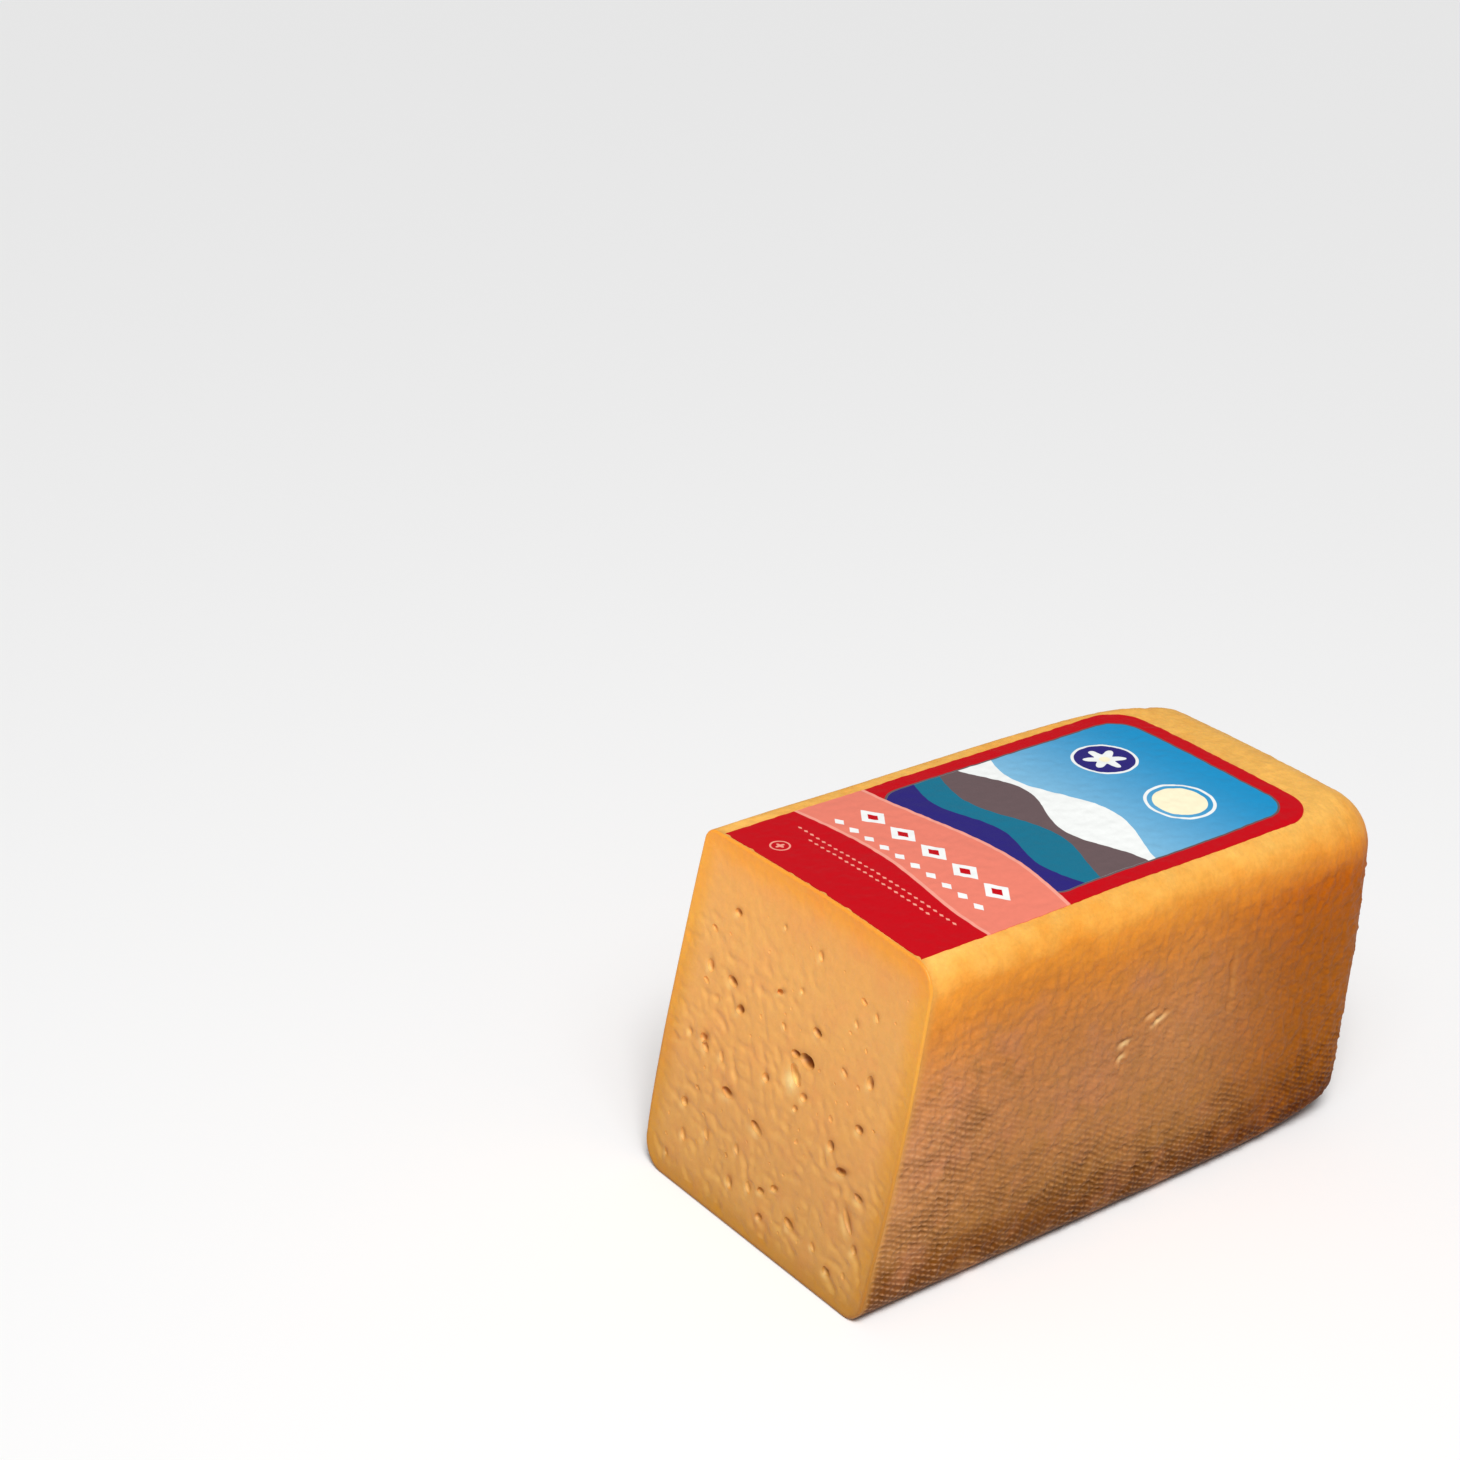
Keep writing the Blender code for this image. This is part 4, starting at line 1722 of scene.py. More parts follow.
@dataclass
class Paste:
    """The cut face: a fine front with the eyes sunk in it, and a plain slab behind."""

    form: LoafForm
    cut: KnifeCut
    eyes: EyeScatter
    columns_across: int
    columns_up: int
    edge_rings: int = 4
    dent: float = 0.00060
    dent_spacing: tuple[float, float] = (0.0027, 0.0041)
    dent_tilt: float = 60
    dent_lean: float = 0.0002
    long_dents: Patches = Patches(1.0, -0.25, 0.85, most=0.75)
    round_dents: Patches = Patches(0.0026, -0.30, 0.90, most=0.25)
    dent_patches: Patches = Patches(0.012, -0.30, 0.55, least=0.35)
    dents_end: Rise = (0.66, 0.20)
    dents_ended: float = 0.80
    calm_across: Rise = (-0.004, 0.026)
    calm_up: Rise = (0.030, 0.030)
    calm_share: float = 0.45
    wave_spacing: float = 0.021
    wave_share: float = 0.3
    # Painted light from the dents' slopes: paler where a dent's wall faces the upper right, darker
    # where it faces away.
    painted_light_step: tuple[float, float] = (0.00035, 0.00060)
    painted_light_share: float = 0.50
    fade: float = 0.0030
    slab: tuple[tuple[float, float], ...] = ((0.0008, 0.0030), (0.0032, 0.0100))
    eye_sides: int = 20
    eye_rings: int = 12
    eye_unevenness: float = 0.0006
    eye_roughness: float = 420
    eye_lean: float = 30
    sharp_angle: float = 38
    depth_slack: float = 0.0001
    batch: int = 4000

    def rim(self) -> np.ndarray:
        """Finds the outline of the cut at the back of its rounded edge.

        Returns:
            Distances across and up the cut, by column across and up: only the border is filled.
        """
        across = self.form.steps_across(self.columns_across)
        up = self.form.steps_up(self.columns_up)
        wide, high = np.meshgrid(across, up, indexing="ij")
        flat = np.zeros((*wide.shape, 2)).reshape(-1, 2)
        ring = ring_of(*wide.shape)
        wide, high = wide.ravel()[ring], high.ravel()[ring]
        share = self.cut.shares_along(self.form, wide, high)
        skin = self.form.skin(np.stack((wide, self.form.station(share), high), -1))
        flat[ring] = self.cut.flatten(skin)
        return flat.reshape(self.columns_across, self.columns_up, 2)

    def inset(self, outline: np.ndarray, distance: float) -> np.ndarray:
        """Moves an outline inwards.

        Args:
            outline: Its points in order, going clockwise as the cut is looked at from behind.
            distance: How far it moves.

        Returns:
            The moved points.
        """
        ahead = np.roll(outline, -1, 0) - np.roll(outline, 1, 0)
        ahead /= np.linalg.norm(ahead, axis=1, keepdims=True)
        sideways = np.stack((-ahead[:, 1], ahead[:, 0]), -1)
        middle = outline.mean(0) - outline
        sideways *= np.sign((sideways * middle).sum(1))[:, None]
        return outline + sideways * distance

    def fill(self, border: np.ndarray) -> np.ndarray:
        """Fills an outline with a grid that shrinks evenly towards its middle.

        Args:
            border: A grid of distances across and up, of which only the border is filled.

        Returns:
            The whole grid.
        """
        rows, columns = border.shape[:2]
        right = np.linspace(-1, 1, rows)[:, None] * np.ones(columns)
        up = np.linspace(-1, 1, columns) * np.ones((rows, 1))
        reach = np.maximum(np.abs(right), np.abs(up))
        safe = np.maximum(reach, np.finfo(float).eps)
        steps_right, steps_up = np.linspace(-1, 1, rows), np.linspace(-1, 1, columns)
        upright = np.abs(right) >= np.abs(up)
        middle = border[ring_mask(rows, columns)].mean(0)
        filled = np.zeros_like(border)
        for axis in range(2):
            at_side = np.where(
                right > 0,
                np.interp(up / safe, steps_up, border[-1, :, axis]),
                np.interp(up / safe, steps_up, border[0, :, axis]),
            )
            at_level = np.where(
                up > 0,
                np.interp(right / safe, steps_right, border[:, -1, axis]),
                np.interp(right / safe, steps_right, border[:, 0, axis]),
            )
            edge = np.where(upright, at_side, at_level)
            filled[..., axis] = middle[axis] + reach * (edge - middle[axis])
        return filled

    def dents(self, flat: np.ndarray, from_rim: np.ndarray) -> np.ndarray:
        """Finds how deep the soft dents between the eyes are.

        Args:
            flat: Distances across and up the cut.
            from_rim: How far each place lies from the rim.

        Returns:
            The depth at each place.
        """
        tilt = math.radians(self.dent_tilt)
        first = flat[:, 0] * math.cos(tilt) + flat[:, 1] * math.sin(tilt)
        second = flat[:, 1] * math.cos(tilt) - flat[:, 0] * math.sin(tilt)
        close, far = self.dent_spacing
        level = np.stack((first / close, second / far, np.zeros_like(first)), -1)
        level[:, 0] -= noise_at(level, 1.0) * self.dent_lean / close
        layers = [np.stack((first, second, np.full_like(first, number)), -1) for number in (1, 2, 3)]
        depth = self.long_dents.at(level) + self.round_dents.at(layers[0])
        waves = noise_at(layers[1], self.wave_spacing) + 1
        top = 1 - self.dents_ended * rising(flat[:, 1] / self.eyes.rise, *self.dents_end)
        calm = rising(flat[:, 0], *self.calm_across) * rising(flat[:, 1], *self.calm_up)
        depth *= top * self.dent_patches.at(layers[2]) * blend(1.0, self.calm_share, calm)
        return (depth + waves * self.wave_share) * self.dent * smooth(from_rim / self.fade)

    def lit(self, flat: np.ndarray, from_rim: np.ndarray) -> np.ndarray:
        """Finds the painted light on the paste, from the way that its dents slope and beside its named
        eyes.

        Args:
            flat: Distances across and up the cut.
            from_rim: How far each place lies from the rim.

        Returns:
            The share at each place: above 0 for painted highlight, below 0 for painted shade.
        """
        step = np.array(self.painted_light_step)
        deeper = self.dents(flat + step, from_rim) - self.dents(flat - step, from_rim)
        slope = deeper / (2 * np.linalg.norm(step))
        return self.eyes.lit(flat) + self.painted_light_share * slope

    def eye_points(self) -> Piece:
        """Puts a point in the cut face for each eye, with its size and turn.

        Returns:
            An object of loose points, which the tree reads and which is then removed.
        """
        axes = (Vector((1, 0, 0)), Vector(self.cut.rise), Vector(self.cut.facing))
        facing = Matrix(axes).transposed()
        eyes = self.eyes.every()
        places = self.cut.place(np.array([eye.place for eye in eyes]), 0.0)
        lean = Matrix.Rotation(math.radians(self.eye_lean), 3, Vector((1, -1, 0)))
        tilts = [Matrix.Rotation(math.radians(eye.tilt), 3, "Z") for eye in eyes]
        turns = [(facing @ lean @ tilt).to_euler() for tilt in tilts]
        mesh = bpy.data.meshes.new("eye_points")
        mesh.from_pydata(places.tolist(), [], [])
        carried = {"size": [eye.size for eye in eyes], "turn": [tuple(turn) for turn in turns]}
        for name, values in carried.items():
            made = mesh.attributes.new(name, "FLOAT_VECTOR", "POINT")
            made.data.foreach_set("vector", np.array(values, dtype=np.float32).ravel())
        points = bpy.data.objects.new("eye_points", mesh)
        bpy.context.scene.collection.objects.link(points)
        return points

    def eye_tree(self) -> ShapeTree:
        """Builds the tree that cuts the eyes out of the paste.

        Returns:
            The tree, with the eyes' points and their roughness as inputs.
        """
        inputs = (
            ("Eyes", "NodeSocketObject"),
            ("Sides", "NodeSocketInt"),
            ("Rings", "NodeSocketInt"),
            ("Unevenness", "NodeSocketFloat"),
            ("Roughness", "NodeSocketFloat"),
            ("Material", "NodeSocketMaterial"),
        )
        made = ShapeTree("paste_eyes", inputs)
        wiring, entry = made.wiring, made.entry.outputs
        given = wiring.node("GeometryNodeObjectInfo", transform_space="RELATIVE")
        wiring.feed(given.inputs["Object"], entry["Eyes"])
        ball = wiring.node("GeometryNodeMeshUVSphere")
        wiring.feed(ball.inputs["Segments"], entry["Sides"])
        wiring.feed(ball.inputs["Rings"], entry["Rings"])
        wiring.feed(ball.inputs["Radius"], 1.0)
        copies = wiring.node("GeometryNodeInstanceOnPoints")
        wiring.feed(copies.inputs["Points"], given.outputs["Geometry"])
        wiring.feed(copies.inputs["Instance"], ball.outputs["Mesh"])
        for name, target in (("turn", "Rotation"), ("size", "Scale")):
            read = wiring.node("GeometryNodeInputNamedAttribute", data_type="FLOAT_VECTOR")
            read.inputs["Name"].default_value = name
            wiring.feed(copies.inputs[target], read.outputs[0])
        real = wiring.node("GeometryNodeRealizeInstances")
        wiring.feed(real.inputs[0], copies.outputs[0])
        rough = wiring.node("ShaderNodeTexNoise", noise_dimensions="3D")
        wiring.feed(rough.inputs["Scale"], entry["Roughness"])
        wiring.feed(rough.inputs["Vector"], wiring.node("GeometryNodeInputPosition").outputs[0])
        centred = wiring.node("ShaderNodeVectorMath", operation="SUBTRACT")
        wiring.feed(centred.inputs[0], rough.outputs["Color"])
        centred.inputs[1].default_value = (0.5, 0.5, 0.5)
        push = wiring.node("ShaderNodeVectorMath", operation="SCALE")
        wiring.feed(push.inputs[0], centred.outputs[0])
        wiring.feed(push.inputs["Scale"], entry["Unevenness"])
        moved = wiring.node("GeometryNodeSetPosition")
        wiring.feed(moved.inputs["Geometry"], real.outputs[0])
        wiring.feed(moved.inputs["Offset"], push.outputs[0])
        cutter = wiring.node("GeometryNodeMeshBoolean", operation="DIFFERENCE", solver="MANIFOLD")
        wiring.feed(cutter.inputs["Mesh 1"], entry["Geometry"])
        wiring.feed(cutter.inputs["Mesh 2"], moved.outputs[0])
        made.end(cutter.outputs[0])
        return made

    def build(self, finish: Material) -> Piece:
        """Builds the paste and dresses it.

        Args:
            finish: The paste's material.

        Returns:
            The finished piece.
        """
        rim = self.rim()
        shape = rim.shape[:2]
        ring = ring_of(*shape)
        outline = rim.reshape(-1, 2)[ring]
        round_off = self.cut.edge_round
        border = np.zeros_like(rim).reshape(-1, 2)
        border[ring] = self.inset(outline, round_off)
        front = self.fill(border.reshape(rim.shape)).reshape(-1, 2)
        from_rim = self.rim_distance(front, outline)
        points = [self.cut.place(front, self.dents(front, from_rim))]
        loops = [ring]
        count = len(front)
        turns = np.linspace(math.pi / 2, 0, self.edge_rings + 1)[1:]
        levels = zip(round_off * (1 - np.cos(turns)), round_off * (1 - np.sin(turns)))
        for distance, depth in (*levels, *self.slab):
            points.append(self.cut.place(self.inset(outline, distance), np.full(len(ring), depth)))
            loops.append(count + np.arange(len(ring)))
            count += len(ring)
        faces = grid_faces(*shape).tolist()
        for outer, deeper in zip(loops, loops[1:]):
            sides = np.stack((np.roll(outer, -1), outer, deeper, np.roll(deeper, -1)), -1)
            faces += sides.tolist()
        faces.append(loops[-1][::-1].tolist())
        piece = mesh_piece("paste", np.concatenate(points), faces)
        seeds = self.eye_points()
        self.eye_tree().apply(
            piece,
            {
                "Eyes": seeds,
                "Sides": self.eye_sides,
                "Rings": self.eye_rings,
                "Unevenness": self.eye_unevenness,
                "Roughness": self.eye_roughness,
                "Material": finish,
            },
        )
        bpy.data.objects.remove(seeds)
        self.finish_mesh(piece.data, outline)
        return piece

    def rim_distance(self, flat: np.ndarray, outline: np.ndarray) -> np.ndarray:
        """Measures how far places on the cut lie from its rim.

        Args:
            flat: Distances across and up the cut.
            outline: The rim's points.

        Returns:
            The distance of each place.
        """
        found = []
        for start in range(0, len(flat), self.batch):
            gaps = flat[start : start + self.batch, None] - outline[None]
            found.append(np.sqrt((gaps**2).sum(-1).min(1)))
        return np.concatenate(found)

    def finish_mesh(self, mesh: Mesh, outline: np.ndarray) -> None:
        """Stores what the paste's finish reads, and lays the map.

        Args:
            mesh: The plain mesh.
            outline: The rim's points, across and up the cut.
        """
        points = points_of(mesh)
        flat = self.cut.flatten(points)
        depth = self.cut.depth(points)
        from_rim = self.rim_distance(flat, outline)
        carry(mesh, "rim", from_rim)
        within = from_rim > self.eyes.free_rim / 2
        carry(mesh, "sunk", np.maximum(depth - self.dents(flat, from_rim), 0) * within)
        # The painted highlight and shade that the finish reads.
        carry(mesh, "lit", self.lit(flat, from_rim) * within)
        slab = ~within & (depth > self.cut.edge_round + self.depth_slack / 10)
        slab |= depth > self.slab[-1][1] - self.depth_slack
        inner = np.array([any(slab[v] for v in face.vertices) for face in mesh.polygons])
        lay_map(mesh, fit_square(flat, SHOWN_MAP), fit_square(flat, HIDDEN_MAP), inner)
        mesh.shade_smooth()
        mesh.set_sharp_from_angle(angle=math.radians(self.sharp_angle))


def ring_mask(rows: int, columns: int) -> np.ndarray:
    """Marks the border of a grid.

    Args:
        rows: How many rows of places the grid has.
        columns: How many places a row has.

    Returns:
        For each place, by row and column, whether it is on the border.
    """
    mask = np.zeros(rows * columns, dtype=bool)
    mask[ring_of(rows, columns)] = True
    return mask.reshape(rows, columns)


@dataclass
class Label:
    """The printed sheet on the top: round at its far corners and nicked where it was cut."""

    low: Vector
    high: Vector
    cut: KnifeCut
    corner: float = 0.0120
    columns: int = 119
    rows: int = 190
    bend_rows: int = 24
    thickness: float = 0.00028
    sunk: float = 0.00006
    ripple: float = 0.00005
    ripple_spacing: float = 0.011
    nick_spacing: float = 0.0035
    nick_from: float = 0.12
    nick: float = 0.00144
    fray_spacing: float = 0.0035 / 3
    fray: float = 0.000315
    clear_of_cut: float = 0.00078
    drop: float = 0.01
    sharp_angle: float = 40
    shown_map: Span = (0.008, 0.930)
    hidden_map: Span = (0.940, 0.992)

    def half_width(self, along: np.ndarray) -> np.ndarray:
        """Finds half the label's width.

        Args:
            along: The places along the label.

        Returns:
            Half the width at each place.
        """
        full = (self.high.x - self.low.x) / 2
        past = np.clip(along - (self.high.y - self.corner), 0, self.corner)
        return full - self.corner + np.sqrt(np.maximum(self.corner**2 - past**2, 0))

    def near_edge(self, across: np.ndarray) -> np.ndarray:
        """Finds where the label's ragged cut edge lies.

        Args:
            across: The places across the label.

        Returns:
            The place of the edge along the label, for each of them.
        """
        zero = np.zeros_like(across)
        coarse = noise_at(np.stack((across, zero, zero), -1), self.nick_spacing)
        fine = noise_at(np.stack((across, zero, zero + 1), -1), self.fray_spacing)
        nicks = np.maximum(coarse - self.nick_from, 0) * self.nick + np.maximum(fine, 0) * self.fray
        edge = self.cut.foot[1] + self.cut.lean * self.high.z / self.cut.height
        return edge + self.clear_of_cut + nicks

    def lie_on(self, skin: BVHTree, across: np.ndarray, along: np.ndarray) -> np.ndarray:
        """Drops places straight down on the rind's top.

        Args:
            skin: The top's faces.
            across: The places across the label.
            along: The places along it.

        Returns:
            The height of the top at each place.
        """
        above = self.high.z + self.drop
        down = Vector((0, 0, -1))
        heights = [skin.ray_cast(Vector((x, y, above)), down)[0].z for x, y in zip(across, along)]
        return np.array(heights)

    def steps_along(self) -> np.ndarray:
        """Spreads shares of the label's length, closer together round the far corners.

        Returns:
            The shares, from 0 at the cut to 1 at the far edge.
        """
        turn = self.corner / (self.high.y - self.low.y)
        straight = np.linspace(0, 1 - turn, self.rows - self.bend_rows)
        bend = 1 - turn + turn * np.sin(np.linspace(0, math.pi / 2, self.bend_rows + 1))[1:]
        return np.concatenate((straight, bend))

    def build(self, top: Piece, finish: Material) -> Piece:
        """Builds the label on the rind's top and dresses it.

        Args:
            top: The rind's top panel.
            finish: The label's material.

        Returns:
            The finished piece.
        """
        share = self.steps_along()
        side = np.linspace(-1, 1, self.columns)
        middle = (self.low.x + self.high.x) / 2
        faces_below = [list(face.vertices) for face in top.data.polygons]
        skin = BVHTree.FromPolygons(points_of(top.data).tolist(), faces_below)
        near = self.near_edge(middle + side * self.half_width(np.array(self.low.y)))
        along = near + (self.high.y - near) * share[:, None]
        across = middle + side * self.half_width(along)
        tops = self.lie_on(skin, across.ravel(), along.ravel())
        bed = np.stack((across.ravel(), along.ravel(), tops), -1)
        under = bed - (0, 0, self.sunk)
        upper = bed + (0, 0, self.thickness - self.sunk)
        upper[:, 2] += noise_at(bed, self.ripple_spacing) * self.ripple
        count = len(bed)
        faces = grid_faces(self.rows, self.columns)
        ring = ring_of(self.rows, self.columns)
        walls = np.stack((ring, np.roll(ring, -1), np.roll(ring, -1) + count, ring + count), -1)
        listed = [*faces[:, ::-1].tolist(), *(faces + count).tolist(), *walls.tolist()]
        piece = mesh_piece("label_sheet", np.concatenate((upper, under)), listed)
        piece.data.materials.append(finish)
        flat = np.concatenate((bed, bed))[:, :2]
        inner = np.arange(len(listed)) >= len(faces)
        lay_map(
            piece.data, fit_square(flat, self.shown_map), fit_square(flat, self.hidden_map), inner
        )
        piece.data.set_sharp_from_angle(angle=math.radians(self.sharp_angle))
        return piece


@dataclass(frozen=True)
class Studio:
    """The pale floor, the soft lights and the camera at the photograph's viewing angle."""

    centre: tuple[float, float, float]
    azimuth: float = 51.34
    elevation: float = 25.54
    roll: float = 2.59
    distance: float = 0.8673
    aside: float = 0.0822
    above: float = 0.0724
    lens: float = 73.97
    floor_size: float = 30.0
    floor_gap: float = 0.0001
    floor_roughness: float = 0.9
    floor_colour: Colour = (0.93, 0.93, 0.93)
    key_from: tuple[float, float, float] = (0.42, -0.32, 0.85)
    sun_power: float = 2.20
    sun_spread: float = 24.0
    lamp_distance: float = 0.70
    lamp_size: float = 0.40
    lamp_power: float = 1.3
    fill_strength: float = 0.27

    def build(self) -> None:
        """Makes the floor, the lights and the camera."""
        self.floor()
        self.lights()
        self.camera()

    def floor(self) -> None:
        """Lays the floor just under the cheese."""
        half = self.floor_size / 2
        signs = np.array(((-1, -1), (1, -1), (1, 1), (-1, 1)))
        corners = np.concatenate((signs * half, np.full((len(signs), 1), -self.floor_gap)), 1)
        made = mesh_piece("floor", corners, [list(range(len(signs)))])
        material = bpy.data.materials.new("floor_paint")
        material.use_nodes = True
        shader = material.node_tree.nodes["Principled BSDF"]
        shader.inputs["Base Color"].default_value = (*self.floor_colour, 1)
        shader.inputs["Roughness"].default_value = self.floor_roughness
        made.data.materials.append(material)

    def lights(self) -> None:
        """Lights the cheese from over its near right edge, in an evenly bright room."""
        sun = bpy.data.lights.new("broad_key", "SUN")
        sun.energy = self.sun_power
        sun.angle = math.radians(self.sun_spread)
        lamp = bpy.data.lights.new("near_key", "AREA")
        lamp.shape = "DISK"
        lamp.size = self.lamp_size
        lamp.energy = self.lamp_power
        toward = Vector(self.key_from).normalized()
        for light in (sun, lamp):
            hung = bpy.data.objects.new(light.name, light)
            hung.location = Vector(self.centre) + toward * self.lamp_distance
            hung.rotation_euler = toward.to_track_quat("Z", "Y").to_euler()
            bpy.context.scene.collection.objects.link(hung)
        world = bpy.data.worlds.new("room")
        world.use_nodes = True
        sky = world.node_tree.nodes["Background"]
        sky.inputs["Color"].default_value = (1, 1, 1, 1)
        sky.inputs["Strength"].default_value = self.fill_strength
        bpy.context.scene.world = world
        bpy.context.scene.view_settings.view_transform = "Standard"

    def camera(self) -> None:
        """Sets the camera up beside and above the middle of the cheese, turned as it was held."""
        turn, tip, roll = (math.radians(v) for v in (self.azimuth, self.elevation, self.roll))
        back = Vector((math.sin(turn) * math.cos(tip), -math.cos(turn) * math.cos(tip), math.sin(tip)))
        level = Vector((math.cos(turn), math.sin(turn), 0))
        upright = back.cross(level)
        right = level * math.cos(roll) + upright * math.sin(roll)
        up = upright * math.cos(roll) - level * math.sin(roll)
        eye = bpy.data.objects.new("camera", bpy.data.cameras.new("camera"))
        eye.data.lens = self.lens
        place = Vector(self.centre) + back * self.distance - right * self.aside + up * self.above
        eye.matrix_world = Matrix.Translation(place) @ Matrix((right, up, back)).transposed().to_4x4()
        bpy.context.scene.collection.objects.link(eye)
        bpy.context.scene.camera = eye


LOOKED_AT = (0.0, -0.0041, 0.0525)

AMBER = (1.0, 0.62, 0.22)
RED = from_screen(194, 4, 20)
SALMON = from_screen(232, 128, 108)
PALE_SALMON = from_screen(240, 158, 140)
SKY = from_screen(26, 142, 196)
PALE_SKY = from_screen(160, 208, 232)
NAVY = from_screen(44, 36, 118)
SLATE = from_screen(104, 86, 88)
TEAL = from_screen(24, 112, 140)
WHITE = from_screen(240, 242, 240)
CREAM = from_screen(250, 240, 206)

PRINT = (
    PrintShape(PrintKind.PANEL, SLATE, along=98.0, size=(36.2, 49.0), detail=10.0),
    PrintShape(PrintKind.PANEL, PALE_SKY, along=98.0, size=(35.5, 48.3), detail=9.3, far_colour=SKY),
    PrintShape(PrintKind.RING, WHITE, across=15, along=122, size=(10.5, 1.0), inside=1),
    PrintShape(PrintKind.RING, CREAM, across=15, along=122, size=(8.0, 8.0), inside=1),
    PrintShape(PrintKind.WAVE, WHITE, along=96, size=(64.0, 5.0), detail=0.6, inside=1),
    PrintShape(PrintKind.WAVE, SLATE, along=85, size=(52.0, 4.2), detail=3.4, inside=1),
    PrintShape(PrintKind.WAVE, TEAL, along=74, size=(60.0, 3.8), detail=0.4, inside=1),
    PrintShape(PrintKind.WAVE, NAVY, along=64, size=(44.0, 2.6), detail=1.6, inside=1),
    PrintShape(PrintKind.RING, WHITE, across=-17, along=123, size=(10.0, 10.0)),
    PrintShape(PrintKind.RING, NAVY, across=-17, along=123, size=(9.1, 9.1)),
    PrintShape(PrintKind.FLOWER, WHITE, across=-17, along=123, size=(4.9, 1.7), count=6),
    PrintShape(PrintKind.RING, CREAM, across=-17, along=123, size=(1.7, 1.7)),
    PrintShape(PrintKind.WAVE, PALE_SALMON, along=54.6, size=(108.0, 3.4), detail=0.9),
    PrintShape(PrintKind.WAVE, SALMON, along=53.4, size=(108.0, 3.4), detail=0.9),
    PrintShape(PrintKind.WAVE, PALE_SALMON, along=27.4, size=(96.0, 2.2), detail=2.4),
    PrintShape(PrintKind.WAVE, RED, along=26.2, size=(96.0, 2.2), detail=2.4),
    PrintShape(PrintKind.LOZENGES, WHITE, along=41.5, size=(5.4, 4.0), detail=13.0, count=5),
    PrintShape(PrintKind.LOZENGES, RED, along=41.5, size=(2.4, 1.7), detail=13.0, count=5),
    PrintShape(PrintKind.LOZENGES, WHITE, along=32.0, size=(2.1, 1.5), detail=6.5, count=10),
    PrintShape(PrintKind.LOZENGES, PALE_SALMON, along=20.5, size=(0.9, 0.5), detail=2.6, count=26),
    PrintShape(PrintKind.LOZENGES, PALE_SALMON, along=17.9, size=(0.9, 0.5), detail=2.6, count=20),
    PrintShape(PrintKind.RING, PALE_SALMON, across=-27, along=9, size=(3.0, 0.5)),
    PrintShape(PrintKind.FLOWER, PALE_SALMON, across=-27, along=9, size=(1.1, 0.4), count=4),
)

LARGE_EYES = (
    Eye((0.0092, 0.0602), (0.0031, 0.0020, 0.0046), -12, pale=0.0),
    Eye((0.0064, 0.0550), (0.0032, 0.0038, 0.0010), 15, pale=1.1, dark=0.0),
    Eye((0.0044, 0.0602), (0.0019, 0.0012, 0.0022), 0, pale=0.0),
    Eye((0.0341, 0.0662), (0.0014, 0.0021, 0.0018), 12, dark=0.9),
    Eye((0.0366, 0.0262), (0.0012, 0.0042, 0.0014), 36, dark=0.9),
    Eye((-0.0288, 0.0875), (0.0016, 0.0012, 0.0014), 0, dark=0.9),
    Eye((-0.0257, 0.0678), (0.0024, 0.0014, 0.0018), -12, dark=0.9),
    Eye((-0.0207, 0.0616), (0.0019, 0.0015, 0.0020), 30, dark=0.9),
    Eye((0.0109, 0.0697), (0.0020, 0.0013, 0.0017), -8, dark=0.9),
    Eye((0.0338, 0.0521), (0.0018, 0.0013, 0.0016), 0, dark=0.9),
    Eye((0.0247, 0.0425), (0.0015, 0.0018, 0.0018), 20, dark=0.9),
    Eye((0.0308, 0.0378), (0.0012, 0.0030, 0.0014), 105, dark=0.9),
    Eye((0.0389, 0.0340), (0.0022, 0.0011, 0.0013), -10, dark=0.9),
    Eye((0.0412, 0.0196), (0.0012, 0.0018, 0.0013), 10, dark=0.9),
    Eye((0.0331, 0.0085), (0.0018, 0.0013, 0.0012), -18, dark=0.9),
    Eye((0.0155, 0.0134), (0.0014, 0.0026, 0.0013), 68, dark=0.9),
    Eye((0.0033, 0.0092), (0.0016, 0.0012, 0.0012), 10, dark=0.9),
    Eye((-0.0112, 0.0125), (0.0013, 0.0022, 0.0012), 30, dark=0.9),
    Eye((-0.0330, 0.0470), (0.0018, 0.0015, 0.0012), 34, dark=0.9),
)

